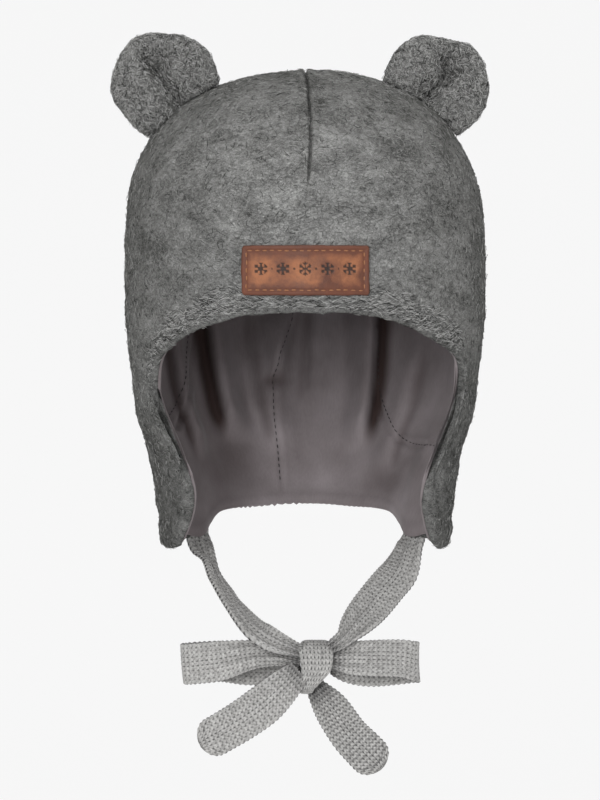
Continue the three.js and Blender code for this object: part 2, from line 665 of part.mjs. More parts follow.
// A tape trimmed where it meets the knot, so that it lies against it
function trimmedAtKnot(wasm, geometry) {
  return geometryFrom(solidOf(wasm, geometry).subtract(solidOf(wasm, knotGeometry(GAP))));
}

// How far the knot's side stands from its middle at a rise, a share of its height, and
// back, a share of its depth
function knotReach(sign, rise, back) {
  const wide = smoothAt(KNOT_SECTIONS, 'rise', 'wide', rise);
  const deep = smoothAt(KNOT_SECTIONS, 'rise', 'deep', rise);
  const aside = smoothAt(KNOT_SECTIONS, 'rise', 'aside', rise);
  const round = Math.sqrt(Math.max(0, 1 - ((2 * back) / deep) ** 2));
  return KNOT_WIDTH * ((wide / 2) * round + sign * aside);
}

// A place on the hat's lower edge where a tie is sewn in, and the edge's direction there
function tieSeat(side) {
  const sign = side === 'left' ? -1 : 1;
  const places = edgePlaces(NAPE_EDGE, side, NAPE_DROP, 60);
  const points = places.map(({ turn, drop }) => offBody(turn, drop, -WALL / 2));
  const behind = points.findIndex((p, i) => i > 8 && Math.abs(p.x) <= TIE_REACH);
  const along = points[behind + 2].clone().sub(points[behind - 2]).normalize();
  if (sign > 0) along.negate();
  return { point: points[behind], along };
}

// A tie from its seat on the flap down to the knot
function tieGeometry(side, rows, seatEnd) {
  const sign = side === 'left' ? -1 : 1;
  const { point, along } = tieSeat(side);
  const top = point.clone();
  top.z -= EDGE_ROLL + GAP * 2;
  const end = KNOT.clone();
  end.x += sign * (knotReach(sign, seatEnd.rise, seatEnd.back) + GAP);
  end.y += KNOT_DEPTH * seatEnd.back;
  end.z += KNOT_HEIGHT * seatEnd.rise;
  const seat = { wx: along.x, wy: along.y, wz: along.z, width: 0.9 };
  const stations = [{ ...seat, x: top.x, y: top.y, z: top.z }];
  for (const row of rows) {
    const spot = top.clone().lerp(end, row.along);
    spot.x += sign * row.out * TAPE_WIDTH;
    spot.y += row.back * TAPE_WIDTH;
    stations.push({ ...row, wx: sign * row.wx, x: spot.x, y: spot.y, z: spot.z });
  }
  return tapeGeometry(stations, TIE_STEPS);
}

// A loop of the bow, out from one side of the knot and back
function loopGeometry(sign, reach, rows) {
  const ends = [rows[0], rows[rows.length - 1]];
  const side = Math.max(...ends.flatMap((row) => [-0.5, 0.5].map((half) => {
    const rise = (TAPE_WIDTH * (row.rise + half * row.width)) / KNOT_HEIGHT;
    return knotReach(sign, rise, 0);
  })));
  const stations = rows.map((row) => ({
    ...row,
    x: KNOT.x + sign * lerp(side + GAP, reach - TAPE_THICKNESS / 2, row.out),
    y: KNOT.y + LOOP_DEPTH * row.back,
    z: KNOT.z + TAPE_WIDTH * row.rise,
    wx: sign * row.wx,
  }));
  return tapeGeometry(stations, LOOP_STEPS);
}

// A tail of the bow, down and out from the foot of the knot
function tailGeometry(sign, length, rows, foot) {
  const stations = rows.map((row) => ({
    ...row,
    x: KNOT.x + KNOT_WIDTH * foot.aside + sign * length * row.out,
    y: KNOT.y + KNOT_DEPTH * foot.back + length * row.back,
    z: KNOT.z + KNOT_HEIGHT * foot.rise - length * row.down,
    wx: sign * row.wx,
  }));
  return tapeGeometry(stations, TAIL_STEPS);
}

const FELT_LOOK = { color: 0x7d7c7d, roughness: 1.0, metalness: 0 };
const LINING_LOOK = { color: 0x6b6567, roughness: 0.9, metalness: 0 };
const LEATHER_LOOK = { color: 0x875a47, roughness: 0.6, metalness: 0 };
const TAPE_LOOK = { color: 0xaeacad, roughness: 0.95, metalness: 0 };

// A named mesh with its own material
function piece(name, geometry, look) {
  const mesh = new THREE.Mesh(geometry, new THREE.MeshStandardMaterial(look));
  mesh.name = name;
  return mesh;
}

const wasm = await Module();
wasm.setup();

const hat = new THREE.Group();
hat.add(piece('felt_crown', crownGeometry(), FELT_LOOK));
hat.add(piece('lining', liningGeometry(), LINING_LOOK));
for (const ear of EARS) {
  hat.add(piece(`ear_${ear.side}`, earGeometry(wasm, ear), FELT_LOOK));
}
hat.add(piece('patch', patchGeometry(), LEATHER_LOOK));

const TAPES = {
  tie_left: tieGeometry('left', LEFT_TIE, LEFT_TIE_END),
  tie_right: tieGeometry('right', RIGHT_TIE, RIGHT_TIE_END),
  bow_loop_left: loopGeometry(-1, LEFT_LOOP_REACH, LEFT_LOOP),
  bow_loop_right: loopGeometry(1, RIGHT_LOOP_REACH, RIGHT_LOOP),
  tail_left: tailGeometry(-1, LEFT_TAIL_LENGTH, LEFT_TAIL, LEFT_TAIL_FOOT),
  tail_right: tailGeometry(1, RIGHT_TAIL_LENGTH, RIGHT_TAIL, RIGHT_TAIL_FOOT),
};
const bow = new THREE.Group();
bow.add(piece('bow_knot', knotGeometry(), TAPE_LOOK));
for (const [name, geometry] of Object.entries(TAPES)) {
  bow.add(piece(name, trimmedAtKnot(wasm, geometry), TAPE_LOOK));
}
hat.add(bow);

export default hat;
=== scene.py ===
"""Baby hat with two round padded ears, dressed for the picture.

A boiled wool crown with a face opening and ear flaps, a folded jersey lining, a sewn leather
patch and knitted ties in a bow. Lengths here are millimetres, in the frame's own axes: +Z up,
the face opening looks along -Y, and the origin is the inside top of the crown. The mesh
functions turn them into Blender's metres.
"""
import logging
import math
from collections.abc import Callable
from dataclasses import dataclass, field, replace
from enum import Enum
from functools import partial

import bpy
import numpy as np
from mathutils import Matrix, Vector


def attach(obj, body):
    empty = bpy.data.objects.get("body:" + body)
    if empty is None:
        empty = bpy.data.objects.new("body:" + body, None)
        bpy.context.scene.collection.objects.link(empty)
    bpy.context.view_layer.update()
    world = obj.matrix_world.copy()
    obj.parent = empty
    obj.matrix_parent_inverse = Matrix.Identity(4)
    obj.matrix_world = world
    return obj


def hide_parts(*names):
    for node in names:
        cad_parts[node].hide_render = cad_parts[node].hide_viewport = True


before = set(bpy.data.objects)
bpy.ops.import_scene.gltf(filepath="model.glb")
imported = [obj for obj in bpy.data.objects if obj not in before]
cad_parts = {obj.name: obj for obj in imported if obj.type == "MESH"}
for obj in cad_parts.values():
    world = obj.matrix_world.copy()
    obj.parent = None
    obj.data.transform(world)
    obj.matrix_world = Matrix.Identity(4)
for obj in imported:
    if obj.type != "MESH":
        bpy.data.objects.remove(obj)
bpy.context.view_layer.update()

logging.basicConfig(level=logging.INFO, format="%(message)s")
log = logging.getLogger("baby_hat")

MM = 0.001
Array = np.ndarray
Material = bpy.types.Material
Piece = bpy.types.Object


class Side(Enum):
    """A side of the hat, as seen from the front."""

    LEFT = -1
    RIGHT = 1

    @property
    def word(self) -> str:
        """The side's word in the names of pieces."""
        return self.name.lower()


class Slot(Enum):
    """The record's material slots."""

    WOOL = "felted_wool"
    JERSEY = "lining_jersey"
    LEATHER = "patch_leather"
    TAPE = "knitted_tape"


# Tables of the hat's shape, the same as the solids'

@dataclass(frozen=True)
class Section:
    """A level of the skirt. level: share of the way from the dome to the flap tips; wide,
    front, back: shares of the half width and the reaches; tuck: how far the sides draw in."""

    level: float
    wide: float
    front: float
    back: float
    tuck: float


@dataclass(frozen=True)
class EdgeRow:
    """A place on the hat's edge. left, right: degrees from the front; fall: share of the way
    down to the flap tip."""

    left: float
    right: float
    fall: float


@dataclass(frozen=True)
class Fold:
    """A fold of the lining. turn, lean, spread: degrees; height: share of the fold height;
    top, foot: shares of the nape drop; over: degrees that it leans over for each millimetre."""

    turn: float
    lean: float
    spread: float
    height: float
    top: float
    foot: float
    over: float


@dataclass(frozen=True)
class Dent:
    """A soft bulge or hollow of the lining. aside: share of the half width; drop: share of the
    nape drop; wide, tall: its reach in millimetres; height: inwards; ink: how much painted shade
    darkens it."""

    aside: float
    drop: float
    wide: float
    tall: float
    height: float
    painted_shade: float


@dataclass(frozen=True)
class SeamRow:
    """A place on a seam. aside: share of the half width; drop: share of the nape drop."""

    aside: float
    drop: float


@dataclass(frozen=True)
class CreasePoint:
    """A place on an ear's crease. across, up: shares of the ear's radius from its middle."""

    across: float
    up: float


@dataclass(frozen=True)
class TieRow:
    """A place on a tie. along: share of the way to the knot; out, back: shares of the tape
    width; wx, wy, wz: the direction across the tape, x out from the knot; width: share."""

    along: float
    out: float
    back: float
    wx: float
    wy: float
    wz: float
    width: float


@dataclass(frozen=True)
class LoopRow:
    """A place on a loop. out: share of the way out from the knot; back: share of the loop
    depth; rise, width: shares of the tape width; wx, wy, wz: as on a tie."""

    out: float
    back: float
    rise: float
    wx: float
    wy: float
    wz: float
    width: float


@dataclass(frozen=True)
class TailRow:
    """A place on a tail. out, down, back: shares of its length; wx, wy, wz, width: as on a
    tie."""

    out: float
    down: float
    back: float
    wx: float
    wy: float
    wz: float
    width: float


@dataclass(frozen=True)
class KnotRow:
    """A level of the knot. rise: share of its height; wide, deep, aside: shares of its size."""

    rise: float
    wide: float
    deep: float
    aside: float


def table(kind: type, *rows: tuple) -> list:
    """A table with one row of its kind for each tuple."""
    return [kind(*row) for row in rows]


SECTIONS = table(
    Section, (0.0, 1.0, 1.0, 1.0, 0.0), (0.2, 0.992, 0.99, 1.0, 0.005),
    (0.37, 0.97, 0.95, 0.985, 0.02), (0.54, 0.939, 0.885, 0.95, 0.06),
    (0.66, 0.885, 0.82, 0.9, 0.1), (0.78, 0.845, 0.765, 0.835, 0.145),
    (0.88, 0.826, 0.735, 0.77, 0.175), (1.0, 0.8, 0.715, 0.7, 0.2),
)
FACE_EDGE = table(
    EdgeRow, (0, 0, 0.0), (11, 11, 0.004), (21.4, 22.5, 0.02), (29.5, 31, 0.046),
    (38.9, 39.5, 0.085), (47, 49, 0.135), (54, 58.5, 0.18), (58, 63.5, 0.23), (60.3, 65, 0.31),
    (61.4, 64.8, 0.41), (60, 63.3, 0.5), (57.3, 60.8, 0.59), (52.6, 57.6, 0.66), (49, 54, 0.73),
    (48.8, 52.9, 0.8), (51.2, 55.4, 0.87), (56.5, 59.5, 0.94), (62, 64.5, 0.985), (70, 72, 1.0),
)
NAPE_EDGE = table(
    EdgeRow, (70, 72, 1.0), (82, 84, 0.97), (94, 95, 0.93), (105, 105, 0.86), (113, 113, 0.74),
    (119, 119, 0.5), (124, 124, 0.26), (130, 130, 0.12), (141, 141, 0.06), (155, 155, 0.05),
    (169, 169, 0.01), (180, 180, 0.0),
)
# The solid's five main folds, then three shallow ones between them
FOLDS = table(
    Fold, (-147, -2, 9, 1.7, 0.46, 0.88, 0.75), (159, -3, 8, 1.5, 0.44, 0.9, -0.7),
    (-168, -3, 8, 0.7, 0.5, 0.9, 0.7), (-127, 3, 7, 1.0, 0.5, 0.92, 0.8),
    (138, 2, 9, 0.5, 0.6, 0.96, -0.8), (-157, -4, 7, 0.5, 0.5, 0.85, 0.8),
    (171, 5, 7, 0.5, 0.46, 0.8, 0.6), (-174, 6, 5, 0.3, 0.52, 0.72, -0.8),
)
# The bulge and the hollow where the centre seam has drawn the jersey up, and softer ones
DENTS = table(
    Dent, (-0.15, 0.65, 5.5, 11.0, 3.4, 0.0), (-0.17, 0.722, 7.0, 3.6, -1.6, 0.62),
    (0.03, 0.69, 4.0, 16.0, -0.9, 0.26), (-0.33, 0.6, 6.0, 12.0, -0.9, 0.36),
    (0.5, 0.955, 9.0, 5.0, -0.8, 0.3), (-0.42, 0.9, 10.0, 9.0, -0.9, 0.28),
    (0.3, 0.56, 9.0, 9.0, -0.6, 0.2),
)
CENTRE_SEAM = table(
    SeamRow, (0.0, 0.02), (-0.02, 0.3), (-0.065, 0.5), (-0.085, 0.57), (-0.115, 0.62),
    (-0.155, 0.67), (-0.163, 0.755), (-0.163, 0.87), (-0.14, 0.985),
)
LEFT_PANEL_SEAM = table(
    SeamRow, (-0.6, 0.5), (-0.665, 0.59), (-0.69, 0.66), (-0.715, 0.74), (-0.77, 0.83),
)
RIGHT_PANEL_SEAM = table(
    SeamRow, (0.43, 0.6), (0.43, 0.7), (0.455, 0.77), (0.51, 0.835), (0.6, 0.868), (0.72, 0.872),
)
LINING_SEAMS = (CENTRE_SEAM, LEFT_PANEL_SEAM, RIGHT_PANEL_SEAM)
# The ears' creases, in the ear's own upright frame
EAR_CREASES = {
    Side.LEFT: table(CreasePoint, (0.02, 0.52), (0.05, 0.34), (0.02, 0.14), (0.035, -0.18),
                     (0.02, -0.38)),
    Side.RIGHT: table(CreasePoint, (-0.12, 0.5), (0.0, 0.36), (0.045, 0.18), (0.01, -0.07),
                      (-0.03, -0.22)),
}
EAR_FORKS = {
    Side.LEFT: table(CreasePoint, (0.05, 0.3), (0.3, 0.42)),
    Side.RIGHT: table(CreasePoint, (0.0, 0.3), (0.16, 0.46)),
}
KNOT_ROWS = table(
    KnotRow, (-0.55, 0.2, 0.4, -0.17), (-0.48, 0.42, 0.66, -0.14), (-0.32, 0.66, 0.9, -0.04),
    (-0.1, 0.86, 1.0, 0.11), (0.12, 0.95, 1.0, 0.13), (0.36, 1.0, 0.9, 0.1),
    (0.45, 0.86, 0.62, 0.09),
)
TIES = {
    Side.LEFT: table(
        TieRow, (0.12, 0.22, -0.02, -0.5, 0.84, 0.2, 0.75),
        (0.25, 0.34, -0.08, -0.05, 0.99, 0.04, 0.8), (0.42, 0.48, -0.3, -0.12, 0.98, 0.12, 0.95),
        (0.57, 0.59, -0.46, -0.16, 0.96, 0.17, 0.95), (0.78, 0.64, -0.6, -0.28, 0.88, 0.34, 0.9),
        (0.89, 0.46, -0.46, -0.42, 0.55, 0.66, 0.62), (1.0, 0.0, 0.0, -0.5, 0.05, 0.8, 0.28),
    ),
    Side.RIGHT: table(
        TieRow, (0.12, 0.12, -0.05, 0.85, -0.5, 0.1, 0.85),
        (0.32, 0.3, -0.06, 0.82, -0.4, -0.38, 1.0), (0.46, 0.28, -0.1, 0.82, -0.34, -0.46, 1.0),
        (0.65, 0.25, -0.2, 0.8, -0.34, -0.48, 0.97), (0.78, 0.2, -0.34, 0.78, -0.32, -0.5, 0.8),
        (0.9, 0.15, -0.38, 0.75, -0.2, -0.55, 0.46), (1.0, 0.0, 0.0, 0.7, 0.0, -0.7, 0.28),
    ),
}
LOOPS = {
    Side.LEFT: table(
        LoopRow, (0.0, -0.1, 0.1, 0.0, 0.0, 1.0, 0.46), (0.13, -0.22, 0.2, 0.02, 0.2, 1.0, 0.52),
        (0.27, -0.4, 0.26, 0.06, 0.3, 1.0, 0.62), (0.44, -0.55, 0.25, 0.1, 0.35, 1.0, 0.78),
        (0.67, -0.6, 0.13, 0.08, 0.2, 1.0, 0.98), (0.87, -0.54, 0.06, 0.05, 0.05, 1.0, 1.0),
        (0.965, -0.36, 0.03, 0.06, 0.0, 1.0, 1.0), (1.0, 0.0, 0.02, 0.08, 0.0, 1.0, 1.0),
        (0.965, 0.36, 0.02, 0.08, 0.0, 1.0, 1.0), (0.87, 0.5, 0.04, 0.06, 0.0, 1.0, 1.0),
        (0.67, 0.54, 0.05, 0.0, 0.0, 1.0, 1.0), (0.44, 0.48, -0.04, -0.06, 0.0, 1.0, 0.98),
        (0.2, 0.36, -0.08, -0.06, 0.0, 1.0, 0.8), (0.0, 0.28, -0.02, 0.0, 0.0, 1.0, 0.56),
    ),
    Side.RIGHT: table(
        LoopRow, (0.0, -0.28, 0.17, 0.0, 0.2, 1.0, 0.5), (0.2, -0.5, 0.19, 0.0, 0.45, 1.0, 0.84),
        (0.5, -0.66, 0.19, 0.0, 0.62, 1.0, 1.0), (0.8, -0.6, 0.17, 0.0, 0.5, 1.0, 1.0),
        (0.95, -0.38, 0.1, 0.0, 0.25, 1.0, 1.0), (1.0, 0.0, 0.06, -0.03, 0.05, 1.0, 1.0),
        (0.95, 0.38, 0.04, -0.03, 0.0, 1.0, 1.0), (0.75, 0.52, -0.02, 0.0, 0.0, 1.0, 1.0),
        (0.45, 0.48, -0.06, 0.0, 0.0, 1.0, 1.0), (0.2, 0.36, -0.04, 0.0, 0.0, 1.0, 0.86),
        (0.0, 0.28, 0.02, 0.0, 0.0, 1.0, 0.56),
    ),
}
TAILS = {
    Side.LEFT: table(
        TailRow, (0.0, 0.0, 0.0, 0.3, 0.0, 0.95, 0.6), (0.13, 0.12, -0.02, 0.5, 0.0, 0.86, 0.84),
        (0.3, 0.28, -0.03, 0.6, 0.05, 0.79, 1.0), (0.49, 0.415, -0.06, 0.58, 0.08, 0.8, 1.0),
        (0.68, 0.53, -0.06, 0.52, 0.08, 0.84, 0.98), (0.78, 0.585, -0.05, 0.5, 0.05, 0.86, 0.98),
        (0.87, 0.632, -0.04, 0.5, 0.05, 0.86, 0.96),
    ),
    Side.RIGHT: table(
        TailRow, (0.0, 0.0, 0.0, 0.85, 0.0, 0.5, 0.5), (0.19, 0.25, -0.02, 0.82, 0.05, 0.56, 0.86),
        (0.41, 0.57, -0.05, 0.8, 0.1, 0.6, 0.95), (0.59, 0.76, -0.07, 0.76, 0.12, 0.64, 1.0),
        (0.73, 0.9, -0.07, 0.72, 0.12, 0.68, 1.0), (0.83, 1.0, -0.07, 0.7, 0.12, 0.7, 0.97),
    ),
}


def linear(hex_colour: str) -> tuple[float, float, float, float]:
    """An sRGB hex colour as Blender's linear colour.

    Args:
        hex_colour: six hex digits after a hash.

    Returns:
        Red, green, blue and alpha.
    """
    parts = [int(hex_colour[i:i + 2], 16) / 255 for i in (1, 3, 5)]
    low = [part / 12.92 for part in parts]
    high = [((part + 0.055) / 1.055) ** 2.4 for part in parts]
    red, green, blue = (a if p <= 0.04045 else b for p, a, b in zip(parts, low, high))
    return red, green, blue, 1.0


def repeats(size_mm: float) -> float:
    """How often a pattern of a size in millimetres repeats in a metre."""
    return 1000 / size_mm


# The output of a node that the others read, where it isn't the first
OUTPUTS = {"TexCoord": "Object", "Attribute": "Fac", "LayerWeight": "Facing", "Mix": 2}


def add_node(tree: bpy.types.NodeTree, kind: str, inputs: dict | None = None,
             **settings) -> bpy.types.NodeSocket | None:
    """Adds a node with its settings, values and links.

    Args:
        tree: the material's node tree.
        kind: the node's Blender type without its ShaderNode.
        inputs: values or sockets by the name or number of the input.
        settings: the node's own properties.

    Returns:
        The output that other nodes read, if it has one.
    """
    node = tree.nodes.new(f"ShaderNode{kind}")
    for name, value in settings.items():
        setattr(node, name, value)
    for key, value in (inputs or {}).items():
        if isinstance(value, bpy.types.NodeSocket):
            tree.links.new(value, node.inputs[key])
        else:
            node.inputs[key].default_value = value
    return node.outputs[OUTPUTS.get(kind, 0)] if node.outputs else None


def smooth_at(keys: Array, values: Array, at: Array) -> Array:
    """A smooth curve through values at rising keys.

    Args:
        keys: rising keys of the rows.
        values: the rows' values.
        at: where to read the curve.

    Returns:
        The curve's values.
    """
    keys = np.asarray(keys, float)
    values = np.asarray(values, float)
    at = np.asarray(at, float)
    last = len(keys) - 1
    i = np.searchsorted(keys[1:-1], at, side="left")
    before = np.maximum(np.arange(last + 1) - 1, 0)
    after = np.minimum(np.arange(last + 1) + 1, last)
    slopes = (values[after] - values[before]) / (keys[after] - keys[before])
    span = keys[i + 1] - keys[i]
    t = np.clip((at - keys[i]) / span, 0, 1)
    start = values[i] * (1 + 2 * t) * (1 - t) ** 2
    finish = values[i + 1] * (3 - 2 * t) * t ** 2
    leave = slopes[i] * span * t * (1 - t) ** 2
    arrive = slopes[i + 1] * span * t ** 2 * (1 - t)
    return start + finish + leave - arrive


def column(rows: list, name: str) -> Array:
    """One named column of a table as an array."""
    return np.array([getattr(row, name) for row in rows], float)


def read_table(rows: list, key: str, name: str, at: Array) -> Array:
    """A smooth curve through one column of a table, by its rising key column."""
    return smooth_at(column(rows, key), column(rows, name), at)


def spaced(count: int, crowding: float) -> Array:
    """Shares from 0 to 1, closer together at the start by as much as crowding says."""
    share = np.linspace(0, 1, count + 1)
    return share * (1 - crowding) + share ** 2 * crowding


def bump(distance: Array, spread: float) -> Array:
    """A bump that is 1 at the middle and 0 from one spread away."""
    return np.maximum(0, 1 - (distance / spread) ** 2) ** 2


def bell(distance: Array, spread: float) -> Array:
    """A soft bump that is 1 at the middle and dies away without an edge."""
    return np.exp(-(distance / spread) ** 2)


def ease(share: Array) -> Array:
    """A share from 0 to 1, eased at both ends."""
    share = np.clip(share, 0, 1)
    return share * share * (3 - 2 * share)


def unit(vectors: Array) -> Array:
    """Vectors at length one."""
    return vectors / np.maximum(np.linalg.norm(vectors, axis=-1, keepdims=True), 1e-9)


def lengths_along(points: Array) -> Array:
    """How far along a line of points each point lies."""
    return np.concatenate([[0], np.cumsum(np.linalg.norm(np.diff(points, axis=0), axis=1))])


def rotated(x: Array, z: Array, angle: float) -> tuple[Array, Array]:
    """Flat places turned clockwise, as seen from the front, by an angle in radians."""
    cos, sin = math.cos(angle), math.sin(angle)
    return x * cos + z * sin, z * cos - x * sin


def cloud(points: Array, size: float, seed: int) -> Array:
    """Smooth noise from -1 to 1 at points in space.

    Args:
        points: places in millimetres.
        size: how far apart its lumps lie, in millimetres.
        seed: which noise.

    Returns:
        One value for each point.
    """
    table = np.random.default_rng(seed).uniform(-1, 1, 8192)
    cell = np.floor(points / size).astype(np.int64)
    share = points / size - cell
    share = share * share * (3 - 2 * share)
    total = np.zeros(points.shape[:-1])
    for dx, dy, dz in np.ndindex(2, 2, 2):
        key = (cell[..., 0] + dx) * 73856093
        key = key ^ ((cell[..., 1] + dy) * 19349663) ^ ((cell[..., 2] + dz) * 83492791)
        weight = (share[..., 0] if dx else 1 - share[..., 0])
        weight = weight * (share[..., 1] if dy else 1 - share[..., 1])
        weight = weight * (share[..., 2] if dz else 1 - share[..., 2])
        total += weight * table[key % 8192]
    return total


def distance_to_path(points: Array, path: Array) -> Array:
    """How far flat points lie from a path of straight runs.

    Args:
        points: places with two numbers each.
        path: the path's corners, two numbers each.

    Returns:
        The distances.
    """
    best = np.full(points.shape[:-1], np.inf)
    for a, b in zip(path[:-1], path[1:]):
        run = b - a
        share = np.clip(((points - a) @ run) / max(run @ run, 1e-9), 0, 1)
        near = a + share[..., None] * run
        best = np.minimum(best, np.linalg.norm(points - near, axis=-1))
    return best


# Meshes

def make_piece(name: str, points: Array, faces: list, material: Material,
               values: dict[str, Array] | None = None) -> Piece:
    """A smooth-shaded mesh object from points in millimetres.

    Args:
        name: the piece's name.
        points: its points.
        faces: its faces as lists of point numbers.
        material: its material.
        values: one number a point, by attribute name, for the material to read.

    Returns:
        The new object.
    """
    mesh = bpy.data.meshes.new(name)
    mesh.from_pydata((np.asarray(points) * MM).tolist(), [], faces)
    for key, numbers in (values or {}).items():
        attribute = mesh.attributes.new(key, "FLOAT", "POINT")
        attribute.data.foreach_set("value", np.asarray(numbers, np.float32).ravel())
    mesh.shade_smooth()
    mesh.materials.append(material)
    mesh.update()
    piece = bpy.data.objects.new(name, mesh)
    bpy.context.scene.collection.objects.link(piece)
    return piece


def place_piece(piece: Piece, slot: Slot, *nodes: str) -> None:
    """Lets a piece ride with the hat and stand for CAD nodes.

    Args:
        piece: the piece.
        slot: the record's material slot of its finish; not used.
        nodes: the CAD nodes that it replaces.
    """
    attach(piece, "root")
    if nodes:
        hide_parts(*nodes)
    log.info("%s: %d faces", piece.name, len(piece.data.polygons))


def tube_faces(rings: int, around: int, poles: bool = True) -> list:
    """The faces of rings joined one to the next, with a pole at each end.

    The points are the rings in order, then the first pole and the last pole.

    Args:
        rings: how many rings.
        around: how many points in a ring.
        poles: whether the ends are closed.

    Returns:
        Faces as lists of point numbers.
    """
    j = np.arange(around)
    k = (j + 1) % around
    faces = []
    for i in range(rings - 1):
        a = i * around
        b = a + around
        faces.extend(np.stack([a + j, b + j, b + k, a + k], 1).tolist())
    if poles:
        first = rings * around
        end = (rings - 1) * around
        faces.extend(np.stack([np.full(around, first), j, k], 1).tolist())
        faces.extend(np.stack([end + k, end + j, np.full(around, first + 1)], 1).tolist())
    return faces


def triangles_of(faces: list) -> Array:
    """The faces cut into triangles."""
    made = [(face[0], face[i], face[i + 1]) for face in faces for i in range(1, len(face) - 1)]
    return np.array(made)


@dataclass
class Stitches:
    """Short stitches of sewing thread, each a slim rounded bead along its way."""

    radius: float
    length: float
    sides: int = 6
    rings: int = 5

    def build(self, name: str, places: Array, ways: Array, ups: Array, material: Material) -> Piece:
        """Makes all the stitches as one mesh.

        Args:
            name: the piece's name.
            places: the stitches' middles.
            ways: the directions that they run in.
            ups: the directions off the cloth.
            material: the thread.

        Returns:
            The new object.
        """
        ways = unit(ways)
        ups = unit(ups - ways * np.sum(ups * ways, 1, keepdims=True))
        sides = np.cross(ways, ups)
        turn = np.linspace(0, 2 * math.pi, self.sides, endpoint=False)
        points = []
        for at in np.linspace(-0.86, 0.86, self.rings):
            wide = self.radius * math.sqrt(1 - at ** 4)
            dip = -self.radius * 0.9 * at ** 2
            middle = places + ways * (at * self.length / 2) + ups * dip
            for angle in turn:
                points.append(middle + wide * (sides * math.cos(angle) + ups * math.sin(angle)))
        for at in (-1, 1):
            points.append(places + ways * (at * self.length / 2) - ups * self.radius)
        stack = np.stack(points, 1)
        one = tube_faces(self.rings, self.sides)
        count = stack.shape[1]
        faces = [[n + i * count for n in face] for i in range(len(places)) for face in one]
        return make_piece(name, stack.reshape(-1, 3), faces, material)


# Finishes

@dataclass(frozen=True)
class Finish:
    """What a real material is and how it was made, as the inputs of one principled shader."""

    name: str

    def inputs(self, add: Callable) -> dict:
        """Adds the finish's own nodes and gives the shader's inputs by their names."""
        raise NotImplementedError

    def material(self) -> Material:
        """Builds the finish.

        Returns:
            The material.
        """
        material = bpy.data.materials.new(self.name)
        material.use_nodes = True
        tree = material.node_tree
        tree.nodes.clear()
        add = partial(add_node, tree)
        add("OutputMaterial", {"Surface": add("BsdfPrincipled", self.inputs(add))})
        return material


@dataclass(frozen=True)
class Strand:
    """Short curly strands in the wool. weight: how strongly they show; size_mm: the size of
    their curls, which are drawn about twice as coarse as real ones."""

    tint: str
    weight: float
    size_mm: float


@dataclass(frozen=True)
class BoiledWool(Finish):
    """Boiled wool: knitted, then fulled in hot water till its fibres felt together. It gives a
    dull matt grey with cloudy patches and short curly light and dark fibres."""

    name: str = "boiled_wool"
    deep: str = "#434342"
    pale: str = "#adadab"
    # seam is the near-black of the painted shade that the mesh bakes into seams, creases, flaps and brim
    seam: str = "#161615"
    # rim is the olive colour of the painted shade where the felt turns away from the view
    rim: str = "#33332d"
    bloom: str = "#c9c9c2"
    cloud_mm: float = 15.0
    mottle_mm: float = 2.4
    relief_mm: float = 0.9
    cloud_weight: float = 0.55
    grazing_shade_weight: float = 0.75
    level_bias: float = 1.0
    strands: tuple[Strand, ...] = (
        Strand("#343433", 0.55, 2.6), Strand("#bcbcba", 0.5, 2.1),
        Strand("#30302f", 0.45, 1.5), Strand("#c4c4c2", 0.5, 1.3),
    )
    strand_share: float = 0.04

    def inputs(self, add: Callable) -> dict:
        """Clouds and mottles crossed by the strands. The mesh says where painted shade darkens it.

        Args:
            add: adds a node to the material.

        Returns:
            The shader's inputs.
        """
        level = add("Mapping", {"Vector": add("TexCoord"), "Scale": (1, 1, self.level_bias)})
        clouds = add("TexNoise", {"Vector": level, "Scale": repeats(self.cloud_mm), "Detail": 3.0})
        mottle = add("TexNoise", {
            "Vector": level, "Scale": repeats(self.mottle_mm), "Detail": 5.0,
            "Roughness": 0.75, "Distortion": 1.0,
        })
        shade = add("Math", {0: clouds, 1: self.cloud_weight, 2: mottle}, operation="MULTIPLY_ADD")
        tone = add("MapRange", {"Value": shade, "From Min": 0.6, "From Max": 0.94})
        colour = add("Mix", {0: tone, 6: linear(self.deep), 7: linear(self.pale)}, data_type="RGBA")
        heights = mottle
        for number, strand in enumerate(self.strands):
            shifted = add("Mapping", {"Vector": level, "Location": (0.13 * number, 0.07, 0.29 * number)})
            curls = add("TexNoise", {
                "Vector": shifted, "Scale": repeats(strand.size_mm), "Detail": 1.0,
                "Roughness": 0.5, "Distortion": 1.8,
            })
            away = add("Math", {0: curls, 1: 0.5}, operation="SUBTRACT")
            off = add("Math", {0: away}, operation="ABSOLUTE")
            line = add("MapRange", {
                "Value": off, "From Min": 0.0, "From Max": self.strand_share,
                "To Min": strand.weight, "To Max": 0.0,
            }, interpolation_type="SMOOTHSTEP")
            colour = add("Mix", {0: line, 6: colour, 7: linear(strand.tint)}, data_type="RGBA")
            heights = add("Math", {0: line, 1: heights}, operation="ADD")
        # Painted shade: the felt darkens towards the rim colour where its surface turns away from the
        # view
        facing = add("LayerWeight", {"Blend": 0.35})
        edge = add("Math", {0: facing, 1: self.grazing_shade_weight}, operation="MULTIPLY")
        rim = add("Mix", {0: edge, 6: colour, 7: linear(self.rim)}, data_type="RGBA")
        # Painted shade baked into the mesh: the felt's seam, low on the flaps, along the brim, the ears'
        # creases and feet
        seam = add("Attribute", attribute_name="seam")
        drawn = add("Mix", {0: seam, 6: rim, 7: linear(self.seam)}, data_type="RGBA")
        relief = add("Bump", {"Height": heights, "Strength": 0.8, "Distance": self.relief_mm * MM})
        return {
            "Base Color": drawn, "Roughness": 0.97, "Normal": relief,
            "Specular IOR Level": 0.08, "Sheen Weight": 0.06, "Sheen Roughness": 0.6,
            "Sheen Tint": linear(self.bloom),
        }


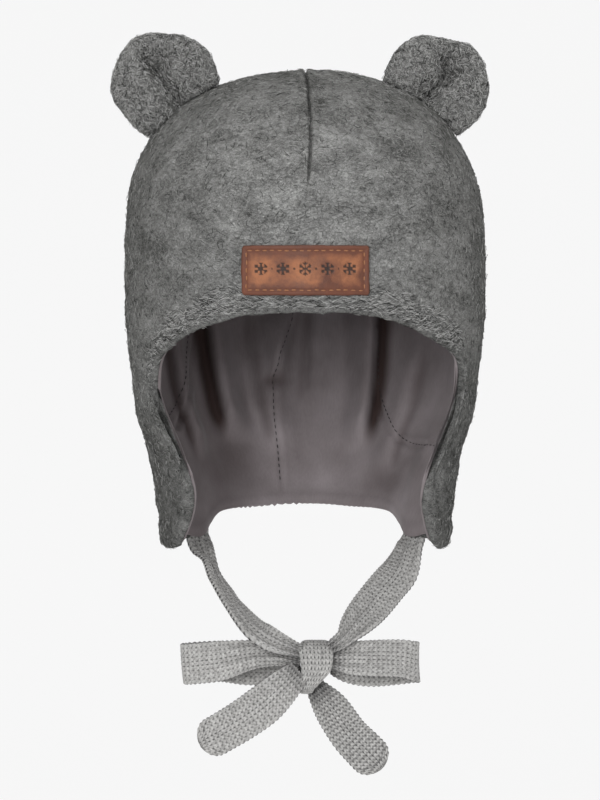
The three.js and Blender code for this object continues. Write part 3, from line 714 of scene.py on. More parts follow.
@dataclass(frozen=True)
class WoolFibre(Finish):
    """Loose wool fibres that stand off the felt. Real ones are about 0.03 mm thick, too fine to
    show, so they are drawn about eight times as coarse."""

    name: str = "wool_fibre"
    dark: str = "#30302f"
    pale: str = "#969694"

    def inputs(self, add: Callable) -> dict:
        """From dark to pale by each fibre's own shade.

        Args:
            add: adds a node to the material.

        Returns:
            The shader's inputs.
        """
        shade = add("Attribute", attribute_name="shade")
        tone = add("Mix", {0: shade, 6: linear(self.dark), 7: linear(self.pale)}, data_type="RGBA")
        return {"Base Color": tone, "Roughness": 0.95, "Specular IOR Level": 0.1}


@dataclass(frozen=True)
class CottonJersey(Finish):
    """Cotton single jersey, finely knitted and smooth. It gives a soft matt taupe with faint
    upright wales and a little bloom where it turns away."""

    name: str = "cotton_jersey"
    deep: str = "#6f6869"
    pale: str = "#898284"
    # hollow is the dark brown of the painted shade in the folds' hollows, the dents and the hat's sides
    hollow: str = "#2e201d"
    wale_mm: float = 0.7
    cloud_mm: float = 22.0
    relief_mm: float = 0.2
    wale_weight: float = 0.3

    def inputs(self, add: Callable) -> dict:
        """Wales drawn long over soft clouds. The mesh says how much painted shade darkens each place.

        Args:
            add: adds a node to the material.

        Returns:
            The shader's inputs.
        """
        place = add("TexCoord")
        drawn = add("Mapping", {"Vector": place, "Scale": (1, 1, 0.16)})
        wales = add("TexNoise", {"Vector": drawn, "Scale": repeats(self.wale_mm), "Detail": 2.0})
        clouds = add("TexNoise", {"Vector": place, "Scale": repeats(self.cloud_mm), "Detail": 2.0})
        total = add("Math", {0: wales, 1: self.wale_weight, 2: clouds}, operation="MULTIPLY_ADD")
        tone = add("MapRange", {"Value": total, "From Min": 0.4, "From Max": 0.9})
        colour = add("Mix", {0: tone, 6: linear(self.deep), 7: linear(self.pale)}, data_type="RGBA")
        # Painted shade from the mesh's hollow attribute
        shaded = add("Mix", {
            0: add("Attribute", attribute_name="hollow"), 6: colour,
            7: linear(self.hollow),
        }, data_type="RGBA")
        relief = add("Bump", {"Height": wales, "Strength": 0.15, "Distance": self.relief_mm * MM})
        return {
            "Base Color": shaded, "Roughness": 0.82, "Normal": relief,
            "Specular IOR Level": 0.2, "Sheen Weight": 0.12, "Sheen Roughness": 0.4,
        }


@dataclass(frozen=True)
class TannedLeather(Finish):
    """Vegetable-tanned cowhide, cut, stamped and a little rubbed. It gives a warm brown with
    fine pores, paler where it is worn and darker at the cut edge and in the stamp."""

    name: str = "tanned_leather"
    deep: str = "#462619"
    middle: str = "#6f402d"
    worn: str = "#a26945"
    burnt: str = "#1d120e"
    pore_mm: float = 0.55
    cloud_mm: float = 6.0
    relief_mm: float = 0.2

    def inputs(self, add: Callable) -> dict:
        """Pores over clouds. The mesh says how worn and how stamped each place is.

        Args:
            add: adds a node to the material.

        Returns:
            The shader's inputs.
        """
        place = add("TexCoord")
        clouds = add("TexNoise", {
            "Vector": place, "Scale": repeats(self.cloud_mm), "Detail": 5.0, "Roughness": 0.65,
        })
        pores = add("TexVoronoi", {"Vector": place, "Scale": repeats(self.pore_mm), "Randomness": 1.0})
        wear = add("Math", {0: clouds, 1: add("Attribute", attribute_name="wear")}, operation="MULTIPLY")
        base = add("Mix", {0: clouds, 6: linear(self.deep), 7: linear(self.middle)}, data_type="RGBA")
        rubbed = add("MapRange", {"Value": wear, "From Min": 0.18, "From Max": 0.62})
        worn = add("Mix", {0: rubbed, 6: base, 7: linear(self.worn)}, data_type="RGBA")
        burnt = add("Mix", {
            0: add("Attribute", attribute_name="stamp"), 6: worn,
            7: linear(self.burnt),
        }, data_type="RGBA")
        heights = add("Math", {0: pores, 1: clouds}, operation="ADD")
        relief = add("Bump", {"Height": heights, "Strength": 0.4, "Distance": self.relief_mm * MM})
        shine = add("MapRange", {
            "Value": clouds, "From Min": 0.3, "From Max": 0.7, "To Min": 0.5, "To Max": 0.68,
        })
        return {"Base Color": burnt, "Roughness": shine, "Normal": relief, "Specular IOR Level": 0.35}


@dataclass(frozen=True)
class KnittedCotton(Finish):
    """Cotton yarn knitted into a narrow tape. It gives rows of pale heathered stitches with
    painted shade in the little gaps between them. The stitches themselves are in the mesh."""

    name: str = "knitted_cotton"
    # gap is the near-black of the painted shade between the stitches
    gap: str = "#242325"
    deep: str = "#7f7e7c"
    pale: str = "#bdbcba"
    yarn_mm: float = 0.5
    fleck_mm: float = 1.6
    relief_mm: float = 0.3

    def inputs(self, add: Callable) -> dict:
        """Heathered yarn, with painted shade in the gaps. The mesh says how high in its stitch each
        place is, lowered where more painted shade falls.

        Args:
            add: adds a node to the material.

        Returns:
            The shader's inputs.
        """
        place = add("TexCoord")
        yarn = add("TexNoise", {
            "Vector": place, "Scale": repeats(self.yarn_mm), "Detail": 3.0, "Distortion": 0.8,
        })
        flecks = add("TexNoise", {
            "Vector": place, "Scale": repeats(self.fleck_mm), "Detail": 4.0, "Roughness": 0.7,
        })
        total = add("Math", {0: yarn, 1: flecks}, operation="ADD")
        tone = add("MapRange", {"Value": total, "From Min": 0.75, "From Max": 1.25})
        yarns = add("Mix", {0: tone, 6: linear(self.deep), 7: linear(self.pale)}, data_type="RGBA")
        # Painted shade: the lower a place lies in its stitch, the nearer it turns to the near-black of
        # the gaps
        lit = add("MapRange", {
            "Value": add("Attribute", attribute_name="rise"), "From Min": 0.12,
            "From Max": 0.66,
        })
        colour = add("Mix", {0: lit, 6: linear(self.gap), 7: yarns}, data_type="RGBA")
        relief = add("Bump", {"Height": yarn, "Strength": 0.35, "Distance": self.relief_mm * MM})
        return {
            "Base Color": colour, "Roughness": 0.9, "Normal": relief,
            "Specular IOR Level": 0.15, "Sheen Weight": 0.15, "Sheen Roughness": 0.5,
        }


@dataclass(frozen=True)
class SewingThread(Finish):
    """Spun polyester sewing thread. It gives slim stitches with a slight lustre."""

    colour: str
    ply_mm: float = 0.25
    relief_mm: float = 0.1

    def inputs(self, add: Callable) -> dict:
        """One colour with the fine relief of the twisted plies.

        Args:
            add: adds a node to the material.

        Returns:
            The shader's inputs.
        """
        ply = add("TexNoise", {"Vector": add("TexCoord"), "Scale": repeats(self.ply_mm), "Detail": 2.0})
        relief = add("Bump", {"Height": ply, "Strength": 0.3, "Distance": self.relief_mm * MM})
        return {"Base Color": linear(self.colour), "Roughness": 0.6, "Normal": relief,
                "Specular IOR Level": 0.3}


@dataclass(frozen=True)
class StudioPaper(Finish):
    """Pale seamless studio paper, matt and evenly lit."""

    name: str = "studio_paper"
    colour: str = "#6c6c6c"
    glow: float = 0.808
    grain_mm: float = 10 / 3
    relief_mm: float = 1.0

    def inputs(self, add: Callable) -> dict:
        """A plain colour that glows a little, so that it looks evenly lit.

        Args:
            add: adds a node to the material.

        Returns:
            The shader's inputs.
        """
        grain = add("TexNoise", {"Vector": add("TexCoord"), "Scale": repeats(self.grain_mm)})
        relief = add("Bump", {"Height": grain, "Strength": 0.02, "Distance": self.relief_mm * MM})
        return {
            "Base Color": linear(self.colour), "Roughness": 1.0, "Normal": relief,
            "Specular IOR Level": 0.0, "Emission Color": linear("#ffffff"),
            "Emission Strength": self.glow,
        }


# The hat's body

@dataclass
class HatShape:
    """The surface that the felt, lining and patch follow: a place is a turn in degrees from the
    front, left negative, and a drop from the top."""

    half_width: float = 76.0
    front_reach: float = 84.0
    back_reach: float = 88.0
    dome_height: float = 75.0
    dome_round: float = 2.35
    forehead_drop: float = 101.0
    nape_drop: float = 183.0
    flap_drop: float = 199.0
    felt: float = 3.0
    lining: float = 1.0
    gap: float = 0.3
    tip_turn: float = 102.0
    tuck_lead: float = 0.1
    tuck_ease: float = 0.55
    crowding: float = 0.0
    edge_samples: int = 1201

    @property
    def wall(self) -> float:
        """The whole wall, felt and lining."""
        return self.felt + self.gap + self.lining

    def section(self, name: str, drop: Array) -> Array:
        """One column of the sections at a drop."""
        level = np.clip((drop - self.dome_height) / (self.flap_drop - self.dome_height), 0, 1)
        return read_table(SECTIONS, "level", name, level)

    def half_wide(self, drop: Array, behind: Array) -> Array:
        """Half the width at a drop. behind: 1 behind, where the sides are tucked in."""
        tuck = behind * self.section("tuck", drop)
        return self.half_width * (1 - tuck) * self.section("wide", drop)

    def spread(self, drop: Array) -> Array:
        """How far the dome has opened at a drop, a share of the full girth."""
        short = np.clip(1 - drop / self.dome_height, 0, 1)
        return np.maximum(1 - short ** self.dome_round, 0) ** (1 / self.dome_round)

    def dome_drop(self, angle: Array) -> Array:
        """The drop of a place on the dome by its angle from the top, in radians."""
        return self.dome_height * (1 - np.maximum(np.cos(angle), 0) ** (2 / self.dome_round))

    def point(self, turn: Array, drop: Array) -> Array:
        """The felt's outer face.

        Args:
            turn: degrees from the front.
            drop: the drop from the top.

        Returns:
            Points in space.
        """
        turn, drop = np.broadcast_arrays(np.asarray(turn, float), np.asarray(drop, float))
        sin = np.sin(np.radians(turn))
        cos = np.cos(np.radians(turn))
        wide = self.half_wide(drop, ease((-cos + self.tuck_lead) / self.tuck_ease))
        front = self.front_reach * self.section("front", drop)
        back = self.back_reach * self.section("back", drop)
        reach = np.where(cos > 0, front, back)
        spread = self.spread(drop)
        return np.stack([spread * wide * sin, -spread * reach * cos, self.wall - drop], -1)

    def normal(self, turn: Array, drop: Array) -> Array:
        """The way out of the felt's outer face."""
        drop = np.maximum(np.asarray(drop, float), 1e-3)
        step = np.minimum(1.0, drop / 2)
        round_way = self.point(turn + 1.0, drop) - self.point(turn - 1.0, drop)
        down = self.point(turn, drop + step) - self.point(turn, drop - step)
        return unit(np.cross(down, round_way))

    def off(self, turn: Array, drop: Array, distance: Array) -> Array:
        """Points off the felt's outer face, outwards when the distance is positive."""
        distance = np.asarray(distance, float)[..., None]
        return self.point(turn, drop) + self.normal(turn, drop) * distance

    def edge(self, rows: list[EdgeRow], side: Side, high: float, count: int) -> tuple[Array, Array]:
        """Evenly spaced places along one stretch of the hat's edge.

        Args:
            rows: the edge's table.
            side: the side of the hat.
            high: the drop where the fall is 0.
            count: how many steps.

        Returns:
            Turns and drops.
        """
        at = np.linspace(0, len(rows) - 1, self.edge_samples)
        keys = np.arange(len(rows))
        turn = side.value * smooth_at(keys, column(rows, side.word), at)
        fall = smooth_at(keys, column(rows, "fall"), at)
        drop = high + (self.flap_drop - high) * fall
        length = lengths_along(self.point(turn, drop))
        want = length[-1] * spaced(count, self.crowding)
        if rows is NAPE_EDGE:
            want = length[-1] - want[::-1]
        return np.interp(want, length, turn), np.interp(want, length, drop)

    def columns(self, face: int, nape: int) -> tuple[Array, Array, Array]:
        """The columns round the hat, from the front by the left and back by the right.

        Args:
            face: how many columns end on the face edge, a side.
            nape: how many end on the nape edge, a side.

        Returns:
            The turn where each leaves the crown, and the turn and drop where it ends.
        """
        sides = []
        for side in Side:
            face_turn, face_drop = self.edge(FACE_EDGE, side, self.forehead_drop, face)
            nape_turn, nape_drop = self.edge(NAPE_EDGE, side, self.nape_drop, nape)
            behind = 180 - (180 - self.tip_turn) * spaced(nape, self.crowding)[::-1]
            leave = np.concatenate([self.tip_turn * spaced(face, self.crowding), behind[1:]])
            sides.append((side.value * leave, np.concatenate([face_turn, nape_turn[1:]]),
                          np.concatenate([face_drop, nape_drop[1:]])))
        left, right = sides
        return tuple(np.concatenate([a, b[1:-1][::-1]]) for a, b in zip(left, right))

    def back_turn(self, aside: Array, drop: Array) -> Array:
        """The turn of a place on the back half of the inside.

        Args:
            aside: how far it lies to the right.
            drop: its drop from the top.

        Returns:
            The turn in degrees.
        """
        wide = (self.half_wide(drop, 1.0) - self.wall) * self.spread(drop)
        angle = np.degrees(np.arcsin(np.clip(np.abs(aside) / wide, 0, 1)))
        return np.where(aside < 0, -1, 1) * (180 - angle)


@dataclass
class ClothGrid:
    """The rows and columns that the cloth layers share. The inset is how far the edge stops
    short of the hat's edge; the tips are shifted towards the front."""

    shape: HatShape
    face: int = 76
    nape: int = 68
    dome_rows: int = 62
    skirt_rows: int = 64
    inset: float = 0.0
    nape_inset: float = 0.0
    tip_inset: float = 0.0
    tip_shift: float = 0.0
    nape_start: float = 106.0
    nape_ease: float = 16.0

    def places(self) -> tuple[Array, Array]:
        """The turns and drops of all rows and columns, top first.

        Returns:
            Two arrays, a row of places each.
        """
        leave, edge_turn, edge_drop = self.shape.columns(self.face, self.nape)
        near_tip = bump(np.abs(edge_turn) - 115, 13)
        edge_turn = edge_turn - np.sign(edge_turn) * self.tip_shift * near_tip
        angle = np.linspace(0, math.pi / 2, self.dome_rows + 1)[1:]
        dome = self.shape.dome_drop(angle)
        top = self.shape.point(leave, self.shape.dome_height)
        run = np.linalg.norm(self.shape.point(edge_turn, edge_drop) - top, axis=1)
        at_nape = ease((np.abs(edge_turn) - self.nape_start) / self.nape_ease)
        inset = self.inset + self.nape_inset * at_nape
        inset = inset + self.tip_inset * bump(np.abs(edge_turn) - 86, 22)
        share = np.linspace(0, 1, self.skirt_rows + 1)[1:, None] * (1 - inset / run)
        turn = np.concatenate([np.repeat(leave[None], len(dome), 0), leave + (edge_turn - leave) * share])
        drop = np.concatenate([
            np.repeat(dome[:, None], len(leave), 1),
            self.shape.dome_height + (edge_drop - self.shape.dome_height) * share,
        ])
        return turn, drop

    def hidden_rows(self) -> Array:
        """The few rows that the faces between felt and lining need."""
        total = self.dome_rows + self.skirt_rows
        return np.unique(np.concatenate([np.arange(3, total - 4, 9), [total - 4, total - 2]]))

    def close(self, face: Array, bead: list[Array], hidden: Array, *tops: Array) -> tuple[Array, list]:
        """Joins a cloth's seen face, its rounded edge and its hidden face to a closed mesh.

        Args:
            face: the seen face's rows, top first.
            bead: the edge's rings, which take the last row's place.
            hidden: the hidden face's rows, of which it takes only a few.
            tops: the top of the seen face and that of the hidden one.

        Returns:
            The points and faces.
        """
        rings = [*face[:-1], *bead, *hidden[self.hidden_rows()[::-1]]]
        points = np.concatenate([*rings, np.array(tops)])
        return points, tube_faces(len(rings), face.shape[1])


def rolled_edge(before: Array, edge: Array, out: Array, radius: Array | float, steps: int,
                longer: float = 1.0) -> list[Array]:
    """Half round rings that turn a cloth's outer face into its inner one.

    Args:
        before: the ring before the edge, at mid thickness.
        edge: the edge ring, at mid thickness.
        out: the directions out of the cloth.
        radius: half the thickness.
        steps: how many rings.
        longer: how far the bead stands past the edge, a share of its radius.

    Returns:
        The rings.
    """
    on = unit(edge - before)
    rings = []
    for i in range(steps):
        angle = math.pi * (i + 1) / (steps + 1)
        way = out * math.cos(angle) + on * (math.sin(angle) * longer)
        rings.append(edge + way * radius)
    return rings


@dataclass
class Fibres:
    """Loose curly fibres lying on a felt surface. short, long: their lengths; lift: how far
    they rise; curl: how far they bend; grain: how much they keep to the level way; shades,
    shares: the wool's dark, middle and pale fibres and how many there are of each."""

    count: int
    seed: int
    short: float = 1.8
    long: float = 5.2
    radius: float = 0.12
    lift: float = 0.22
    curl: float = 1.5
    grain: float = 0.0
    stations: int = 4
    shades: tuple[float, ...] = (0.08, 0.5, 0.92)
    shares: tuple[float, ...] = (0.3, 0.3, 0.4)

    def build(self, name: str, points: Array, faces: Array, material: Material) -> Piece:
        """Scatters the fibres by area and joins them in one mesh.

        Args:
            name: the piece's name.
            points: the surface's points.
            faces: its triangles.
            material: the fibres' finish.

        Returns:
            The new object.
        """
        rng = np.random.default_rng(self.seed)
        a, b, c = (points[faces[:, i]] for i in range(3))
        cross = np.cross(b - a, c - a)
        area = np.linalg.norm(cross, axis=1)
        pick = rng.choice(len(faces), self.count, p=area / area.sum())
        s = np.sqrt(rng.random(self.count))[:, None]
        t = rng.random(self.count)[:, None]
        root = a[pick] * (1 - s) + b[pick] * s * (1 - t) + c[pick] * s * t
        up = unit(cross[pick])
        some = unit(rng.normal(size=(self.count, 3)))
        level = unit(np.cross(up, np.array([0, 0, 1.0])) + 1e-6)
        some = some + level * (self.grain * np.sign(rng.normal(size=(self.count, 1))))
        way = unit(some - up * np.sum(some * up, 1, keepdims=True))
        side = np.cross(up, way)
        length = rng.uniform(self.short, self.long, self.count)
        bend = rng.normal(0, self.curl, self.count)
        bend = np.where(np.abs(bend) < 0.2, 0.2, bend)
        rise = rng.gamma(2.0, self.lift / 2, self.count)
        shade = rng.choice(self.shades, self.count, p=self.shares)
        shade = np.clip(shade + rng.normal(0, 0.12, self.count), 0, 1)
        middles = []
        for at in np.linspace(0, 1, self.stations):
            angle = bend * (at - 0.5)
            along = length / bend * np.sin(angle)
            aside = length / bend * (1 - np.cos(angle))
            high = rise * math.sin(math.pi * min(at * 1.2, 1.0)) - 0.12 + 0.5 * rise * at ** 3
            middles.append(root + way * along[:, None] + side * aside[:, None] + up * high[:, None])
        parts = [middles[0]]
        for i in range(1, self.stations - 1):
            run = unit(middles[i + 1] - middles[i - 1])
            flat = unit(np.cross(run, up))
            over = np.cross(flat, run)
            for angle in (math.pi / 2, math.pi * 7 / 6, math.pi * 11 / 6):
                way_out = flat * math.cos(angle) + over * math.sin(angle)
                parts.append(middles[i] + way_out * self.radius)
        parts.append(middles[-1])
        stack = np.stack(parts, 1)
        count = stack.shape[1]
        one = self._faces()
        numbers = (one[None] + (np.arange(self.count) * count)[:, None, None]).reshape(-1, 3)
        return make_piece(name, stack.reshape(-1, 3), numbers.tolist(), material,
                          {"shade": np.repeat(shade, count)})

    def _faces(self) -> Array:
        """The triangles of one fibre, from tip to tip."""
        rings = self.stations - 2
        made = [(0, 1 + j, 1 + (j + 1) % 3) for j in range(3)]
        for i in range(rings - 1):
            for j in range(3):
                a, b = 1 + 3 * i + j, 1 + 3 * i + (j + 1) % 3
                made.extend([(a, a + 3, b + 3), (a, b + 3, b)])
        end, tip = 1 + 3 * (rings - 1), 1 + 3 * rings
        made.extend((end + j, tip, end + (j + 1) % 3) for j in range(3))
        return np.array(made)


# Farther from the brim than its fibres reach
FAR = 99.0


@dataclass
class FeltCrown:
    """The boiled wool crown: one thick cloth with a dart over the forehead, a centre seam and
    soft rounded edges."""

    shape: HatShape
    wool: Material
    fibre: Material
    brim_fibre: Material
    dart_drop: float = 53.0
    dart_sway: float = 2.2
    seam_depth: float = 1.5
    seam_width: float = 0.9
    # Painted shade: in the seam, low on the flaps where less light falls, and along the brim
    seam_painted_shade: float = 0.56
    flap_painted_shade: float = 0.32
    brim_painted_shade: float = 0.4
    lip_height: float = 0.5
    lip_width: float = 3.4
    edge_radius: float = 1.6
    edge_puff: float = 0.5
    inset: float = 1.2
    nape_inset: float = 1.4
    lump: float = 0.7
    edge_steps: int = 7
    fibre_count: int = 9000
    brim_count: int = 3900
    brim_reach: float = 13.0
    flap_top: float = 112.0
    flap_fade: float = 55.0
    brim_fade: float = 15.0
    brim_foot: float = 150.0
    brim_turn: float = 60.0

    def seam_place(self, points: Array, turn: Array, drop: Array) -> tuple[Array, Array]:
        """How far places lie from the centre seam, and how strong the seam is there.

        Args:
            points: places on the felt.
            turn: their turns.
            drop: their drops.

        Returns:
            Distances and strengths.
        """
        front = np.abs(turn) < 90
        end = np.where(front, self.dart_drop, self.shape.nape_drop * 2)
        sway = self.dart_sway * np.sin(np.clip(drop / 48, 0, 1) * math.pi * 0.8)
        sway = sway + 0.25 * cloud(points, 6, 11)
        away = np.abs(points[..., 0] - np.where(front, sway, 0.0))
        return away, ease((end - drop) / (0.16 * end))

    def relief(self, points: Array, turn: Array, drop: Array) -> Array:
        """How far the felt stands out or in: its seam with a soft lip on each side, a shallow
        crease under the dart and the uneven swell of soft felt.

        Args:
            points: places on the felt.
            turn: their turns.
            drop: their drops.

        Returns:
            The relief, outwards positive.
        """
        away, strong = self.seam_place(points, turn, drop)
        lips = self.lip_height * bump(away - self.lip_width * 0.6, self.lip_width * 0.6)
        seam = strong * (lips - self.seam_depth * bump(away, self.seam_width))
        crease_drop = self.dart_drop + 7 + 0.08 * points[..., 0]
        crease = -0.55 * bump(drop - crease_drop, 5) * bump(points[..., 0] + 9, 26)
        crease = np.where(np.abs(turn) < 90, crease, 0)
        wide = cloud(points, 31, 3) + 0.6 * cloud(points, 14, 5)
        small = 0.32 * cloud(points, 7.5, 7) + 0.16 * cloud(points, 3.4, 9)
        return seam + crease + self.lump * wide + small

    def painted_shade(self, points: Array, turn: Array, drop: Array, to_edge: Array) -> Array:
        """How much painted shade darkens the felt in its seam, low on the flaps and along the brushed
        brim.

        Args:
            points: places on the felt.
            turn: their turns.
            drop: their drops.
            to_edge: how far they lie from the edge.

        Returns:
            Shares from 0 to 1.
        """
        away, strong = self.seam_place(points, turn, drop)
        # Painted shade: in the seam's groove, low on the flaps where less light falls from above, and
        # under the rolled edge along the brim
        seam = self.seam_painted_shade * ease(strong) * bump(away, self.seam_width * 0.8)
        low = self.flap_painted_shade * ease((drop - self.flap_top) / self.flap_fade)
        fade = 1 - ease(to_edge / self.brim_fade)
        brim = self.brim_painted_shade * fade * (drop < self.brim_foot)
        return np.maximum(seam, np.maximum(low, brim))

    def swelled(self, points: Array, normal: Array, relief: Array, to_edge: Array) -> Array:
        """The outer face: it stands out by its relief, calmly near the puffed edge.

        Args:
            points: places on the smooth surface.
            normal: the ways out of it.
            relief: how far the felt stands out there.
            to_edge: how far they lie from the edge.

        Returns:
            The places moved.
        """
        relief = relief + self.edge_puff * bump(to_edge - 5.0, 5.0)
        relief = relief - 0.55 * bump(to_edge - 11.5, 4.5)
        calm = ease(to_edge / 4.0)
        return points + normal * (relief * (0.35 + 0.65 * calm))[..., None]

    def bead(self, outer: Array, normal: Array) -> list[Array]:
        """The soft rounded edge, which wavers a little.

        Args:
            outer: the outer face's rows.
            normal: the ways out of it.

        Returns:
            The edge's rings.
        """
        half = self.shape.felt / 2
        middle = outer[-1] - normal[-1] * half
        before = outer[-4] - normal[-4] * half
        middle = middle + unit(middle - before) * (0.45 * cloud(middle, 6, 23))[:, None]
        wave = 0.3 * cloud(middle, 7, 21) + 0.2 * cloud(middle, 3, 22)
        return rolled_edge(before, middle, normal[-1], self.edge_radius + wave[:, None],
                           self.edge_steps, 1.1)

    def build(self) -> None:
        """Builds the crown and the fibres on it."""
        shape = replace(self.shape, crowding=0.8)
        grid = ClothGrid(shape, face=104, nape=84, inset=self.inset, nape_inset=self.nape_inset)
        turn, drop = grid.places()
        base = shape.point(turn, drop)
        normal = shape.normal(turn, drop)
        last = len(turn) - 1
        to_edge = np.linalg.norm(base - base[last], axis=-1)
        outer = self.swelled(base, normal, self.relief(base, turn, drop), to_edge)
        bead = self.bead(outer, normal)
        top = shape.off(0.0, 0.0, 0.0) - np.array([0, 0, self.seam_depth * 0.7])
        under = np.array([0, 0, shape.wall - shape.felt])
        points, faces = grid.close(outer, bead, base - normal * shape.felt, top, under)
        painted_shade = self.painted_shade(base[:last], turn[:last], drop[:last], to_edge[:last])
        # The rolled edge and the hidden face take the flaps' painted shade, the top point the seam's
        rest = np.full(len(points) - painted_shade.size, self.flap_painted_shade)
        rest[-2] = self.seam_painted_shade
        crown = make_piece("felt_shell", points, faces, self.wool,
                           {"seam": np.concatenate([painted_shade.ravel(), rest])})
        place_piece(crown, Slot.WOOL, "felt_crown")
        fuzzy = [*outer[:last], *bead[:-2]]
        to_brim = np.where(np.abs(turn) < self.brim_turn, to_edge + np.maximum(drop - 130, 0), FAR)
        bead_rows = np.full((len(fuzzy) - last, turn.shape[1]), FAR)
        to_brim = np.concatenate([to_brim[:last], bead_rows])
        self._fuzz(fuzzy, turn.shape[1], to_brim.ravel())

    def _fuzz(self, rings: list[Array], around: int, to_brim: Array) -> None:
        """Lays loose fibres on the outer face, the front and back halves apart, and coarser
        brushed ones along the brim.

        Args:
            rings: the outer face's rings.
            around: how many points in a ring.
            to_brim: how far each point lies from the edge over the forehead.
        """
        points = np.concatenate(rings)
        triangles = triangles_of(tube_faces(len(rings), around, poles=False))
        middles = points[triangles].mean(1)
        ragged = 4 * cloud(middles, 9, 44)
        near = to_brim[triangles].mean(1) + ragged < self.brim_reach
        brushed = Fibres(self.brim_count, 43, short=2.2, long=7.0, radius=0.14, grain=1.8)
        place_piece(brushed.build("felt_fibres_brim", points, triangles[near][:, ::-1],
                                  self.brim_fibre), Slot.WOOL)
        before = middles[:, 1] < 0
        for word, keep, seed in (("front", before, 41), ("back", ~before, 42)):
            fibres = Fibres(self.fibre_count, seed, grain=0.7)
            place_piece(fibres.build(f"felt_fibres_{word}", points, triangles[keep][:, ::-1],
                                     self.fibre), Slot.WOOL)


